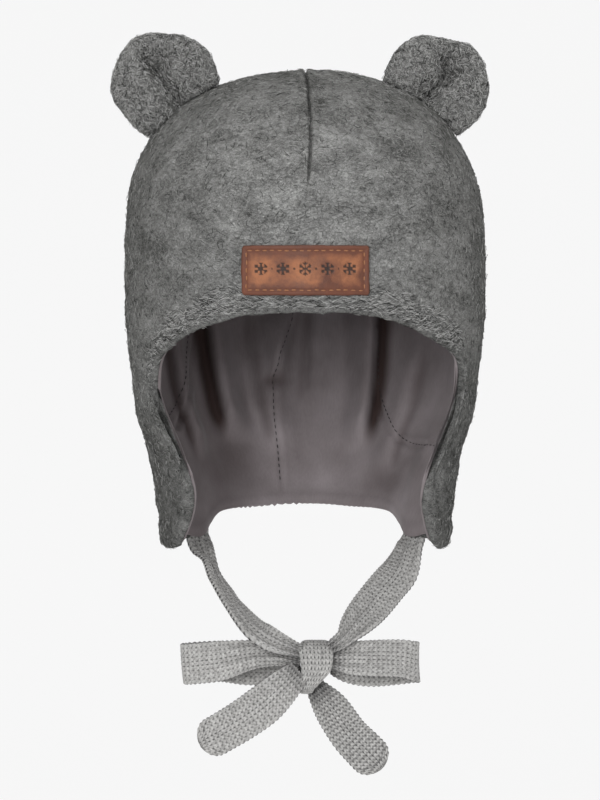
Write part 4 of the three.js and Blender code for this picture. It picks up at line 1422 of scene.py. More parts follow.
@dataclass
class Lining:
    """The jersey lining with its folds, a centre-back seam and the seams of its ear panels."""

    shape: HatShape
    jersey: Material
    thread: Material
    fold_height: float = 5.0
    edge_radius: float = 0.8
    edge_steps: int = 5
    # The rolled edge is drawn a little darker; painted shade darkens the fold hollows, the dents and the
    # hat's hollow sides inside
    edge_darkening: float = 0.12
    inset: float = 1.7
    nape_inset: float = -4.2
    seam_depth: float = 0.8
    seam_width: float = 1.6
    pitch: float = 2.9
    ruffle: float = 0.7
    tip_inset: float = 2.4
    tip_shift: float = 2.5
    tab_turn: float = 109.0
    tab_spread: float = 8.5
    tab_drop: float = 2.6
    tab_rows: int = 9
    fold_painted_shade: float = 0.95
    left_dim: float = 0.3
    right_dim: float = 0.08
    dim_turn: float = 158.0
    dim_fade: float = 22.0
    dim_front: float = 40.0
    nape_turn: float = 136.0
    nape_fade: float = 14.0
    settle_reach: float = 9.0
    crumple_top: float = 40.0
    crumple_fade: float = 60.0

    def folds(self, turn: Array, drop: Array) -> tuple[Array, Array, Array]:
        """How far the lining stands in from the felt, how far its folds lean over, and how much
        painted shade falls in the hollows beside them.

        Args:
            turn: turns of the places.
            drop: their drops.

        Returns:
            The heights, the turns that the folds lean by, and the hollows' painted shade from 0 to 1.
        """
        height = np.zeros(np.broadcast(turn, drop).shape)
        leaning = np.zeros(height.shape)
        hollow = np.zeros(height.shape)
        for fold in FOLDS:
            share = (drop / self.shape.nape_drop - fold.top) / (fold.foot - fold.top)
            rise = ease(share * 4) * ease((1 - share) * 5)
            away = (turn - fold.turn - fold.lean * share + 540) % 360 - 180
            tall = self.fold_height * fold.height * rise * bump(away, fold.spread)
            height += tall
            leaning += fold.over * tall
            beside = away - math.copysign(fold.spread * 0.85, fold.over)
            reach = fold.spread * (0.5 + 0.22 * fold.height)
            hollow += 0.8 * fold.height * rise * bump(beside, reach)
        return height, leaning, np.clip(hollow - 0.12 * height, 0, 1)

    def dents(self, points: Array, drop: Array) -> tuple[Array, Array]:
        """The soft bulges and hollows on the back half of the inside.

        Args:
            points: places on the felt's outer face.
            drop: their drops.

        Returns:
            How far they stand in, and how much painted shade darkens them.
        """
        height = np.zeros(drop.shape)
        painted_shade = np.zeros(drop.shape)
        for dent in DENTS:
            aside = (points[..., 0] - dent.aside * self.shape.half_width) / dent.wide
            down = (drop - dent.drop * self.shape.nape_drop) / dent.tall
            share = np.where(points[..., 1] > 0, np.exp(-aside ** 2 - down ** 2), 0)
            height += dent.height * share
            painted_shade += dent.painted_shade * share
        return height, painted_shade

    def painted_side_shade(self, turn: Array) -> Array:
        """How much painted shade darkens the hollow sides inside the hat, most of all the left one."""
        left, right = (ease((self.dim_turn - side) / self.dim_fade)
                       * ease((side - self.dim_front) / self.dim_front)
                       for side in (-turn, turn))
        return self.left_dim * left + self.right_dim * right

    def seam_path(self, rows: list[SeamRow]) -> Array:
        """A seam as a path of places aside and down, finely divided.

        Args:
            rows: the seam's table.

        Returns:
            Pairs of aside and drop.
        """
        keys = np.arange(len(rows))
        at = np.linspace(0, len(rows) - 1, 60)
        aside = self.shape.half_width * smooth_at(keys, column(rows, "aside"), at)
        drop = self.shape.nape_drop * smooth_at(keys, column(rows, "drop"), at)
        return np.stack([aside, drop], -1)

    def stands_in(self, turn: Array, drop: Array) -> Array:
        """How far the inner face lies inside the felt's outer face, seams and puckers too."""
        base = self.shape.point(turn, drop)
        height = self.folds(turn, drop)[0]
        crumple = 0.5 * cloud(base * np.array([1, 1, 0.4]), 13, 31)
        crumple = crumple + 0.22 * cloud(base * np.array([1, 1, 0.6]), 6, 33)
        quiet = ease((drop - self.crumple_top) / self.crumple_fade)
        flat = np.stack([base[..., 0], drop], -1)
        behind = np.cos(np.radians(turn)) < 0.05
        for rows in LINING_SEAMS:
            away = distance_to_path(flat, self.seam_path(rows))
            pucker = 1 + 0.35 * np.sin(2 * math.pi * drop / self.pitch)
            lips = 0.45 * pucker * bump(away - 2.2, 2.2)
            height = height + np.where(behind, lips - self.seam_depth * bump(away, self.seam_width), 0)
        height = height + self.dents(base, np.broadcast_to(drop, base.shape[:-1]))[0]
        return self.shape.wall + np.maximum(height + crumple * quiet, -0.6)

    def bead(self, base: Array, normal: Array, turn: Array) -> tuple[list[Array], Array]:
        """The thin rounded edge: it ruffles at the nape and hangs in a tongue at each tip.

        Args:
            base: the felt's outer face.
            normal: the ways out of it.
            turn: the turns along the edge.

        Returns:
            The edge's rings, and how far the tongues pull each place of the edge.
        """
        shape = self.shape
        depth = shape.felt + shape.gap + shape.lining / 2
        middle = base[-1] - normal[-1] * depth
        before = base[-4] - normal[-4] * depth
        on = unit(middle - before)
        nape = ease((np.abs(turn) - self.nape_turn) / self.nape_fade) * np.where(turn < 0, 1.0, 0.35)
        waves = np.sin(turn * 2.1 + 3 * cloud(middle, 9, 35))
        waves = waves * (0.55 + 0.45 * cloud(middle, 12, 36))
        tab = self.tab_drop * bump(np.abs(turn) - self.tab_turn, self.tab_spread)
        inwards = -normal[-1] * (0.45 * tab)[:, None]
        on_tab = unit(on * 0.4 + np.array([0, -0.1, -1.0])) * tab[:, None]
        middle = middle + on * (self.ruffle * nape * waves)[:, None] + on_tab + inwards
        rings = rolled_edge(before, middle, -normal[-1], self.edge_radius, self.edge_steps)
        return rings, on_tab + inwards

    def painted_shade(self, base: Array, turn: Array, drop: Array, settle: Array) -> Array:
        """How much painted shade darkens the lining beside its folds, in its hollows and at the sides.

        Args:
            base: places on the felt's outer face.
            turn: their turns.
            drop: their drops.
            settle: how far the folds have risen there.

        Returns:
            Shares from 0 to 1.
        """
        hollow = self.fold_painted_shade * self.folds(turn, drop)[2] * settle
        hollow = np.maximum(hollow, self.dents(base, drop)[1])
        return 1 - (1 - hollow) * (1 - self.painted_side_shade(turn))

    def build(self) -> None:
        """Builds the lining and the stitches of its seams."""
        shape = self.shape
        grid = ClothGrid(shape, face=66, nape=90, dome_rows=34, skirt_rows=92, inset=self.inset,
                         nape_inset=self.nape_inset, tip_inset=self.tip_inset,
                         tip_shift=self.tip_shift)
        turn, drop = grid.places()
        normal = shape.normal(turn, drop)
        base = shape.point(turn, drop)
        last = len(turn) - 1
        to_edge = np.linalg.norm(base - base[last], axis=-1)
        settle = ease(to_edge / self.settle_reach)
        deep = shape.wall + (self.stands_in(turn, drop) - shape.wall) * settle
        deep += 0.5 * bump(to_edge - 2.5, 2.5)
        leaning = self.folds(turn, drop)[1] * settle
        inner = shape.off(turn + leaning, drop, -deep)
        bead, pull = self.bead(base, normal, turn[last])
        for k in range(1, self.tab_rows + 1):
            inner[last - k] += pull * (ease(1 - k / (self.tab_rows + 1)) * 0.85)
        top = np.array([0, 0, 0.0])
        over = np.array([0, 0, shape.lining])
        hidden = base - normal * (shape.felt + shape.gap)
        points, faces = grid.close(inner, bead, hidden, top, over)
        hollow = self.painted_shade(base[:last], turn[:last], drop[:last], settle[:last])
        rest = np.zeros(len(points) - hollow.size)
        # The rolled edge is drawn a little darker, with the sides' painted shade on top
        rim = self.edge_darkening + self.painted_side_shade(turn[last])
        rest[:self.edge_steps * len(rim)] = np.tile(rim, self.edge_steps)
        lining = make_piece("lining_cloth", points, [face[::-1] for face in faces], self.jersey,
                            {"hollow": np.concatenate([hollow.ravel(), rest])})
        place_piece(lining, Slot.JERSEY, "lining")
        self._stitch()

    def _stitch(self) -> None:
        """Sews small dark stitches along the lining's seams."""
        places, ways, ups = [], [], []
        for rows in LINING_SEAMS:
            path = self.seam_path(rows)
            turn = self.shape.back_turn(path[:, 0], path[:, 1])
            depth = self.stands_in(turn, path[:, 1])
            turn = turn + self.folds(turn, path[:, 1])[1]
            line = self.shape.off(turn, path[:, 1], -(depth + 0.1))
            length = lengths_along(line)
            at = np.arange(self.pitch, length[-1] - self.pitch, self.pitch)
            here, ahead = (np.stack([np.interp(spot, length, line[:, k]) for k in range(3)], -1)
                           for spot in (at, at + 0.5))
            turns = np.interp(at, length, turn)
            drops = np.interp(at, length, path[:, 1])
            places.append(here)
            ways.append(ahead - here)
            ups.append(-self.shape.normal(turns, drops))
        piece = Stitches(radius=0.22, length=1.9).build(
            "lining_stitches", np.concatenate(places), np.concatenate(ways),
            np.concatenate(ups), self.thread)
        place_piece(piece, Slot.JERSEY)


@dataclass
class Ear:
    """A round padded ear of the same felt, swelled under pressure, then creased down its middle
    and trimmed to sit on the crown."""

    shape: HatShape
    side: Side
    wool: Material
    fibre: Material
    seat: float
    lean: float
    rise: float
    crease: list[CreasePoint]
    fork: list[CreasePoint]
    radius: float = 23.4
    thickness: float = 15.0
    backset: float = 4.0
    crease_depth: float = 4.8
    crease_width: float = 4.2
    swell_start: float = 0.955
    swell_cap: float = 2.6
    pressure: float = 4.0
    voxel: float = 1.5
    fibre_count: int = 6000
    # Painted shade in the crease and along the foot, where the ear meets the crown
    crease_painted_shade: float = 0.6
    foot_painted_shade: float = 0.55
    cup: float = 5.0
    foot_clear: float = 0.012

    @property
    def tilt(self) -> float:
        """How far the ear leans to the right, in radians."""
        return self.side.value * math.radians(self.lean)

    def middle(self) -> Array:
        """The middle of the ear."""
        drop = self.shape.dome_height * (1 - math.cos(math.radians(self.seat))
                                         ** (2 / self.shape.dome_round))
        seat = self.shape.point(self.side.value * 90.0, drop)
        lean = math.radians(self.lean)
        axis = np.array([self.side.value * math.sin(lean), 0, math.cos(lean)])
        point = seat + axis * self.radius * self.rise
        return np.array([point[0], -self.backset, point[2]])

    def blank(self) -> tuple[Array, list]:
        """The ear before it is padded: a thick round, cupped a little towards the front.

        Returns:
            Its points and faces.
        """
        rings, spokes = 12, 64
        radius = self.radius * self.swell_start
        half = self.thickness / 2 * self.swell_start
        angle = np.linspace(0, 2 * math.pi, spokes, endpoint=False)
        shares = np.sin(np.linspace(0, math.pi / 2, rings + 1)[1:])
        outline = 1 + 0.025 * np.sin(3 * angle + self.seat) + 0.02 * np.sin(5 * angle + 1)
        made = []
        for share, front in [(s, -1) for s in shares] + [(s, 1) for s in shares[-2::-1]]:
            across = radius * share * outline * np.sin(angle)
            up = radius * share * outline * np.cos(angle)
            puff = half * math.sqrt(max(0, 1 - share ** 2.6))
            low = np.clip(0.62 - up / radius, 0, 1)
            cup = -self.cup * (0.35 + 0.65 * low) * (across / radius) ** 2
            made.append(np.stack([across, cup + front * puff, up], -1))
        poles = np.array([[0, -half, 0], [0, half, 0]], float)
        points = np.concatenate([np.concatenate(made), poles])
        return points, tube_faces(len(made), spokes)

    def from_crease(self, flat: Array) -> tuple[Array, Array]:
        """How far flat places on the upright ear lie from the crease and from its fork."""
        away, beside = (distance_to_path(flat / self.radius, np.array(
            [(point.across, point.up) for point in path])) for path in (self.crease, self.fork))
        return away * self.radius, beside * self.radius

    def creased(self, points: Array) -> Array:
        """Draws the front in along the crease and its fork, and swells the lobes beside it.

        Args:
            points: the swelled ear about its own middle, upright.

        Returns:
            The points moved.
        """
        away, beside = self.from_crease(points[:, [0, 2]])
        front = ease((-points[:, 1] - 0.5) / 3.0)
        dip = self.crease_depth * bell(away, self.crease_width)
        dip += 0.7 * self.crease_depth * bell(away, self.crease_width * 0.35)
        dip += 0.6 * self.crease_depth * bell(beside, self.crease_width * 0.6)
        lobe = 1.4 * bell(away - 9.0, 5.0)
        moved = points.copy()
        moved[:, 1] += front * (dip - lobe)
        behind = ease((points[:, 1] - 0.5) / 3.0)
        moved[:, 1] -= behind * 1.3 * bell(away, 6.0)
        swell = 0.55 * cloud(points + self.seat, 10, 51) + 0.3 * cloud(points, 4.5, 52)
        swell += 0.12 * cloud(points, 2.2, 53)
        return moved + unit(points) * swell[:, None]

    def placed(self, points: Array) -> Array:
        """Leans the ear outwards and puts it on the crown's ridge."""
        aside, up = rotated(points[:, 0], points[:, 2], self.tilt)
        return np.stack([aside, points[:, 1], up], -1) + self.middle()

    def crown_block(self) -> Piece:
        """The crown filled solid, which trims the ear's foot.

        Returns:
            A scratch object.
        """
        around, clear = 96, 0.15
        turns = np.linspace(-180, 180, around, endpoint=False)
        drops = self.shape.dome_drop(np.linspace(0, math.pi / 2, 26)[1:])
        rings = [self.shape.off(turns, np.full(around, drop), clear) for drop in drops]
        top = np.array([0, 0, self.shape.wall + clear])
        foot = np.array([0, 0, self.shape.wall - self.shape.dome_height])
        points = np.concatenate([np.concatenate(rings), [top], [foot]])
        return make_piece("crown_block", points, tube_faces(len(rings), around), self.wool)

    def build(self) -> None:
        """Builds the ear and the fibres on it."""
        points, faces = self.blank()
        ear = make_piece(f"ear_{self.side.word}_pad", points, faces, self.wool)
        inflate(ear, self.voxel, self.pressure, self.swell_cap)
        subdivide(ear)
        set_points(ear, self.placed(self.creased(mesh_points(ear))))
        block = self.crown_block()
        cut = ear.modifiers.new("foot", "BOOLEAN")
        cut.operation = "DIFFERENCE"
        cut.solver = "EXACT"
        cut.object = block
        apply_modifiers(ear)
        bpy.data.objects.remove(block)
        ear.data.shade_smooth()
        # The seam attribute carries the painted shade of the crease, its fork and the foot
        painted_shade = ear.data.attributes.new("seam", "FLOAT", "POINT")
        painted_shade.data.foreach_set("value", self.painted_shade(mesh_points(ear)).astype(np.float32))
        place_piece(ear, Slot.WOOL, f"ear_{self.side.word}")
        self._fuzz(ear)

    def past_crown(self, points: Array) -> Array:
        """How far places lie outside the crown, a share of its half width.

        Args:
            points: places in space.

        Returns:
            The shares.
        """
        drop = self.shape.wall - points[:, 2]
        reach = np.hypot(points[:, 0] / self.shape.half_width, points[:, 1] / self.shape.front_reach)
        return reach - self.shape.spread(np.maximum(drop, 0))

    def painted_shade(self, points: Array) -> Array:
        """How much painted shade darkens the felt down in the crease, in its fork and along the ear's
        foot.

        Args:
            points: the finished ear's points.

        Returns:
            Shares from 0 to 1.
        """
        off = points - self.middle()
        upright = np.stack(rotated(off[:, 0], off[:, 2], -self.tilt), -1)
        away, beside = self.from_crease(upright)
        dark = 0.6 * bell(away, 1.3) + 0.4 * bell(away, 4.2)
        dark = np.maximum(dark, 0.7 * bell(beside, 2.0))
        dark = dark * self.crease_painted_shade * ease(-off[:, 1] / 3.0)
        above = self.past_crown(points) * self.shape.half_width * 0.7
        foot = self.foot_painted_shade * bell(above, 1.6)
        return np.clip(np.maximum(dark, foot), 0, 1)

    def _fuzz(self, ear: Piece) -> None:
        """Lays loose fibres on the ear, but not under its foot.

        Args:
            ear: the finished ear.
        """
        points = mesh_points(ear)
        triangles = triangles_of([list(p.vertices) for p in ear.data.polygons])
        middle = points[triangles].mean(1)
        keep = (self.past_crown(middle) > self.foot_clear) | (middle[:, 2] > self.shape.wall)
        fibres = Fibres(self.fibre_count, 60 + self.side.value, curl=2.1)
        piece = fibres.build(f"ear_{self.side.word}_fibres", points, triangles[keep], self.fibre)
        place_piece(piece, Slot.WOOL)


def mesh_points(piece: Piece) -> Array:
    """A mesh's points in millimetres."""
    flat = np.empty(len(piece.data.vertices) * 3)
    piece.data.vertices.foreach_get("co", flat)
    return flat.reshape(-1, 3) / MM


def set_points(piece: Piece, points: Array) -> None:
    """Moves a mesh's points, given in millimetres."""
    piece.data.vertices.foreach_set("co", (points * MM).ravel())
    piece.data.update()


def apply_modifiers(piece: Piece) -> None:
    """Makes what the modifiers show the piece's own mesh."""
    depsgraph = bpy.context.evaluated_depsgraph_get()
    made = bpy.data.meshes.new_from_object(piece.evaluated_get(depsgraph))
    piece.modifiers.clear()
    piece.data = made


def remesh(piece: Piece, voxel: float) -> None:
    """Gives a closed mesh even faces of a size in millimetres."""
    even = piece.modifiers.new("even", "REMESH")
    even.mode = "VOXEL"
    even.voxel_size = voxel * MM
    even.use_smooth_shade = True
    apply_modifiers(piece)


# The padding's short simulation
CLOTH_FRAMES = 20
CLOTH_STIFFNESS = 12


def inflate(piece: Piece, voxel: float, pressure: float, cap: float) -> None:
    """Pads a closed cloth by a short simulation under pressure.

    Args:
        piece: the closed mesh.
        voxel: the size of its even faces.
        pressure: the cloth's inner pressure.
        cap: how far a point may move.
    """
    remesh(piece, voxel)
    start = mesh_points(piece)
    cloth = piece.modifiers.new("padding", "CLOTH")
    cloth.settings.use_pressure = True
    cloth.settings.uniform_pressure_force = pressure
    cloth.settings.effector_weights.gravity = 0
    cloth.settings.tension_stiffness = CLOTH_STIFFNESS
    cloth.settings.compression_stiffness = CLOTH_STIFFNESS
    cloth.point_cache.frame_start = 1
    cloth.point_cache.frame_end = CLOTH_FRAMES
    scene = bpy.context.scene
    for number in range(1, CLOTH_FRAMES + 1):
        scene.frame_set(number)
    apply_modifiers(piece)
    moved = mesh_points(piece) - start
    far = np.linalg.norm(moved, axis=1, keepdims=True)
    set_points(piece, start + moved * np.minimum(1, cap / np.maximum(far, 1e-6)))
    scene.frame_set(1)


def subdivide(piece: Piece) -> None:
    """Adds one smooth subdivision."""
    finer = piece.modifiers.new("finer", "SUBSURF")
    finer.levels = 1
    apply_modifiers(piece)


# The patch

def in_space(flat: Array) -> Array:
    """Flat places as points in space."""
    return np.concatenate([flat, np.zeros(flat.shape[:-1] + (1,))], -1)


@dataclass
class Patch:
    """The leather patch on the forehead: cut with slightly rough edges, sewn on all round and
    stamped with a row of plain frost stars."""

    shape: HatShape
    leather: Material
    thread: Material
    width: float = 50.0
    height: float = 20.0
    thickness: float = 1.6
    drop: float = 84.6
    corner: float = 1.5
    stitch_inset: float = 2.1
    pitch: float = 2.9
    columns: int = 124
    rows: int = 50
    star_reach: float = 2.6
    star_step: float = 8.6
    star_count: int = 5
    star_rise: float = 0.6
    star_line: float = 0.3
    dot_radius: float = 0.42
    stamp_depth: float = 0.28

    def rounded(self, flat: Array) -> Array:
        """Rounds a rectangle's corners and roughens its edge.

        Args:
            flat: places on the patch, from its middle.

        Returns:
            The places moved.
        """
        inner = np.array([self.width / 2 - self.corner, self.height / 2 - self.corner])
        held = np.clip(flat, -inner, inner)
        rest = flat - held
        long = np.max(np.abs(rest), -1, keepdims=True)
        size = np.maximum(np.linalg.norm(rest, axis=-1, keepdims=True), 1e-9)
        smooth = held + np.where(long > 0, rest * long / size, 0)
        space = in_space(smooth)
        share = np.max(np.abs(flat) / np.array([self.width / 2, self.height / 2]), -1)
        rough = 0.28 * cloud(space, 5.0, 71) + 0.14 * cloud(space, 1.7, 72)
        return smooth * (1 + (rough * share ** 8 / 25)[..., None])

    def stamp(self, flat: Array) -> Array:
        """How deeply each place is stamped, from 0 to 1: six-armed stars with dots between.

        Args:
            flat: places on the patch.

        Returns:
            The stamp's shares.
        """
        marks = np.zeros(flat.shape[:-1])
        for i in range(self.star_count):
            aside = (i - (self.star_count - 1) / 2) * self.star_step
            local = flat - np.array([aside, self.star_rise])
            far = np.linalg.norm(local, axis=-1)
            for k in range(3):
                angle = math.pi * k / 3 + math.pi / 6
                way = np.array([math.cos(angle), math.sin(angle)])
                off = np.abs(local @ np.array([-way[1], way[0]]))
                arm = (off < self.star_line) & (far < self.star_reach)
                marks = np.maximum(marks, np.where(arm, 1.0, 0))
                for sign in (-1, 1):
                    tip = local - way * sign * self.star_reach * 0.62
                    ahead = sign * (tip @ way)
                    barb = np.abs(np.abs(tip @ np.array([-way[1], way[0]])) - ahead)
                    near = (barb < 0.32) & (ahead > 0) & (ahead < 0.75)
                    marks = np.maximum(marks, np.where(near, 0.9, 0))
            if i:
                between = np.array([aside - self.star_step / 2, self.star_rise])
                dot = np.linalg.norm(flat - between, axis=-1)
                marks = np.maximum(marks, np.where(dot < self.dot_radius, 0.9, 0))
        return marks

    def on_hat(self, flat: Array, distance: Array) -> Array:
        """Bends flat places round the forehead.

        Args:
            flat: places on the patch, up positive.
            distance: how far they stand off the felt.

        Returns:
            Points in space.
        """
        drop = self.drop - flat[..., 1]
        level = self.shape.point(90.0, drop)[..., 0]
        turn = np.degrees(np.arcsin(flat[..., 0] / level))
        return self.shape.off(turn, drop, distance)

    def build(self) -> None:
        """Builds the patch and sews it on."""
        across = np.linspace(-1, 1, self.columns + 1) * self.width / 2
        up = np.linspace(1, -1, self.rows + 1) * self.height / 2
        flat = np.stack(np.meshgrid(across, up), -1)
        half = np.array([self.width / 2, self.height / 2])
        inside = np.min(half - np.abs(flat), -1)
        flat = self.rounded(flat)
        stamp = self.stamp(flat)
        groove = bell(inside - self.stitch_inset, 0.45)
        space = in_space(flat)
        high = self.thickness * (1 - 0.4 * np.clip(1 - inside / 0.9, 0, 1) ** 2)
        high = high - 0.3 * groove - self.stamp_depth * stamp + 0.12 * cloud(space, 4, 73)
        high = high + 0.25 * bell(inside - 0.9, 1.0)
        lift = self.shape.gap + 0.35
        over = self.on_hat(flat, high + lift)
        below = self.on_hat(flat, np.full(high.shape, self.shape.gap * 0.3))
        count = (self.rows + 1) * (self.columns + 1)
        number = np.arange(count).reshape(self.rows + 1, self.columns + 1)
        quads = np.stack([number[:-1, :-1], number[1:, :-1], number[1:, 1:], number[:-1, 1:]],
                         -1).reshape(-1, 4)
        rim = np.concatenate([number[0, :-1], number[:-1, -1], number[-1, :0:-1], number[:0:-1, 0]])
        next_rim = np.roll(rim, -1)
        sides = np.stack([rim, next_rim, next_rim + count, rim + count], 1)
        faces = quads.tolist() + (quads[:, ::-1] + count).tolist() + sides.tolist()
        wear = ease(inside / 6.0) * (0.75 + 0.35 * cloud(space, 9, 74))
        dark = np.maximum(stamp * 0.92, 0.35 * np.clip(1 - inside / 0.5, 0, 1))
        values = {"wear": np.concatenate([wear.ravel(), np.zeros(count)]),
                  "stamp": np.concatenate([dark.ravel(), np.full(count, 0.5)])}
        points = np.concatenate([over.reshape(-1, 3), below.reshape(-1, 3)])
        patch = make_piece("leather_patch", points, faces, self.leather, values)
        place_piece(patch, Slot.LEATHER, "patch")
        self._stitch(lift)

    def _stitch(self, lift: float) -> None:
        """Sews the patch on along all four edges.

        Args:
            lift: how far the leather's underside stands off the felt.
        """
        half = np.array([self.width / 2, self.height / 2]) - self.stitch_inset
        corners = np.array([[-1, 1], [1, 1], [1, -1], [-1, -1], [-1, 1]]) * half
        places, ways = [], []
        for a, b in zip(corners[:-1], corners[1:]):
            length = np.linalg.norm(b - a)
            number = round(length / self.pitch)
            share = (np.arange(number) + 0.5)[:, None] / number
            places.append(a + (b - a) * share)
            ways.append(np.repeat((b - a)[None] / length, number, 0))
        flat = np.concatenate(places)
        along = np.concatenate(ways)
        rng = np.random.default_rng(75)
        flat = flat + rng.normal(0, 0.09, flat.shape)
        height = np.full(len(flat), self.thickness + lift - 0.18)
        here = self.on_hat(flat, height)
        ahead = self.on_hat(flat + along * 0.3, height)
        up = self.on_hat(flat, height + 1) - here
        piece = Stitches(radius=0.3, length=2.1).build("patch_stitches", here, ahead - here, up,
                                                       self.thread)
        place_piece(piece, Slot.LEATHER)


# The ties and the bow

@dataclass
class Knit:
    """The stitches of the tape: upright wales of small V-shaped stitches in courses."""

    tape_width: float = 17.0
    thickness: float = 1.9
    wales: int = 9
    course: float = 2.0
    height: float = 0.55
    slant: float = 0.5
    spine: float = 0.22
    fine: int = 5

    def rise(self, across: Array, along: Array) -> Array:
        """How high a place lies in its stitch, from 0 to 1.

        Args:
            across: the place across the tape, from -1 to 1.
            along: its length along the tape.

        Returns:
            The rise.
        """
        wale = (across + 1) / 2 * self.wales
        place = np.abs(wale - np.floor(wale) - 0.5)
        outer = 1 - np.clip((place - self.spine) / (0.5 - self.spine), 0, 1) ** 2
        inner = 1 - 0.28 * np.clip(1 - place / self.spine, 0, 1) ** 2
        leg = outer * inner
        beat = along / self.course - self.slant * place * 2
        bead = 0.5 + 0.5 * np.cos(2 * math.pi * beat)
        bridge = 0.62 * (1 - leg) * bead
        return np.clip(leg * (0.5 + 0.5 * bead ** 0.8) + bridge, 0, 1)


@dataclass
class Tape:
    """A length of the flat knitted tape through rows of places, gathered in pleats where it is
    drawn narrow, with a hemmed round tip where it ends free."""

    knit: Knit
    cotton: Material
    step: float = 0.42
    pleats: float = 2.6
    pleat_limit: float = 1.25
    tip: float = 0.0
    hem: float = 3.2
    # Painted shade: a whole tape that lies more in shadow, and its ends by the knot and the hat's edge
    painted_dimming: float = 0.0
    start_shade: float = 0.0
    end_shade: float = 0.0
    shade_reach: float = 6.0
    seed: int = 0

    def route(self, stations: Array) -> tuple[Array, Array, Array, Array, Array]:
        """Evenly spaced places along the stations.

        Args:
            stations: rows of x, y, z, the direction across and the width share.

        Returns:
            Their lengths along, their middles, the ways across the tape and out of it, and
            the width shares.
        """
        keys = np.arange(len(stations))
        fine = np.linspace(0, keys[-1], 600)
        line = np.stack([smooth_at(keys, stations[:, k], fine) for k in range(3)], -1)
        length = lengths_along(line)
        at = np.linspace(0, length[-1], max(8, int(length[-1] / self.step)))
        key = np.interp(at, length, fine)
        middle, across = (np.stack([smooth_at(keys, stations[:, k + n], key) for k in range(3)],
                                   -1) for n in (0, 3))
        run = unit(np.gradient(middle, axis=0))
        across = unit(across - run * np.sum(across * run, 1, keepdims=True))
        return at, middle, across, np.cross(run, across), smooth_at(keys, stations[:, 6], key)

    def pleated(self, u: Array, at: Array, width: Array) -> Array:
        """How far the tape stands out of its plane: in pleats where it is drawn narrow, and
        cupped a little all along.

        Args:
            u: places across, from -1 to 1.
            at: lengths along the tape.
            width: the width shares there.

        Returns:
            A row for each length.
        """
        gathered = np.clip(width, 0.2, 1)
        spare = np.sqrt(np.clip(1 - gathered[:, None] ** 2, 0, 1)) * self.knit.tape_width
        sway = 0.25 * np.sin(at / 7 + self.seed)[:, None]
        wave = np.sin(math.pi * self.pleats * (u + 0.15) + sway)
        fold = np.minimum(spare / (4 * self.pleats) * 0.75, self.pleat_limit) * wave
        return fold + 0.4 * np.sin(at / 9 + self.seed)[:, None] * u ** 2

    def build(self, name: str, node: str, stations: Array) -> None:
        """Sweeps the tape along its stations.

        Args:
            name: the piece's name.
            node: the CAD node that it replaces.
            stations: rows of x, y, z, the direction across and the width share.
        """
        knit = self.knit
        at, middle, across, out, width = self.route(stations)
        to_tip = at[-1] - at
        narrow = np.ones(len(at))
        if self.tip:
            left = np.clip(to_tip / self.tip, 0, 1)
            narrow = np.sqrt(np.clip(1 - (1 - left) ** 2.2, 0.02, 1))
        side = self.outline()
        u, face = side[None, :, 0], side[None, :, 1]
        half = knit.tape_width / 2 * (width * narrow)[:, None]
        scallop = 0.2 * np.cos(2 * math.pi * at / knit.course)[:, None] * u ** 8
        rise = knit.rise(u * np.ones((len(at), 1)), at[:, None])
        body = knit.thickness / 2 - knit.height
        lift = face * (body + np.where(np.abs(face) > 0.4, knit.height * rise, 0.15))
        fold = self.pleated(u, at, width)
        if self.tip:
            bulge = np.sqrt(np.clip(1 - (u * narrow[:, None]) ** 2, 0, 1))
            to_end = to_tip[:, None] - self.tip * (1 - bulge)
            line = bell(to_end - self.hem, 0.45)
            lift = lift * (1 + 0.2 * ease((self.hem - to_end) / 1.2 + 0.5) - 0.16 * line)
            # Painted shade along the hem's groove
            rise = rise * (1 - 0.34 * line)
        # Painted shade where the tape runs into the knot or under the hat's edge, and painted dimming of
        # a whole tape that lies more in shadow
        shade = self.start_shade * bell(at, self.shade_reach)
        shade = shade + self.end_shade * bell(to_tip, self.shade_reach)
        rise = rise * (1 - self.painted_dimming) * (1 - shade[:, None])
        points = (middle[:, None] + across[:, None] * (u * (half + scallop))[..., None]
                  + out[:, None] * (lift + fold)[..., None])
        stack = np.concatenate([points.reshape(-1, 3), middle[[0, -1]]])
        values = {"rise": np.concatenate([rise.ravel(), [0.3, 0.3]])}
        faces = tube_faces(len(at), len(side))
        place_piece(make_piece(name, stack, faces, self.cotton, values), Slot.TAPE, node)

    def outline(self) -> Array:
        """The tape's cross-section, anticlockwise: across from -1 to 1 and which face.

        Returns:
            Pairs of across and face.
        """
        steps = self.knit.wales * self.knit.fine
        across = np.linspace(-0.965, 0.965, steps + 1)
        over = np.stack([across, np.ones(steps + 1)], -1)
        under = np.stack([across[::-1], -np.ones(steps + 1)], -1)
        right = np.array([[1.0, 0.3], [1.0, -0.3]])
        return np.concatenate([over, right, under, -right])


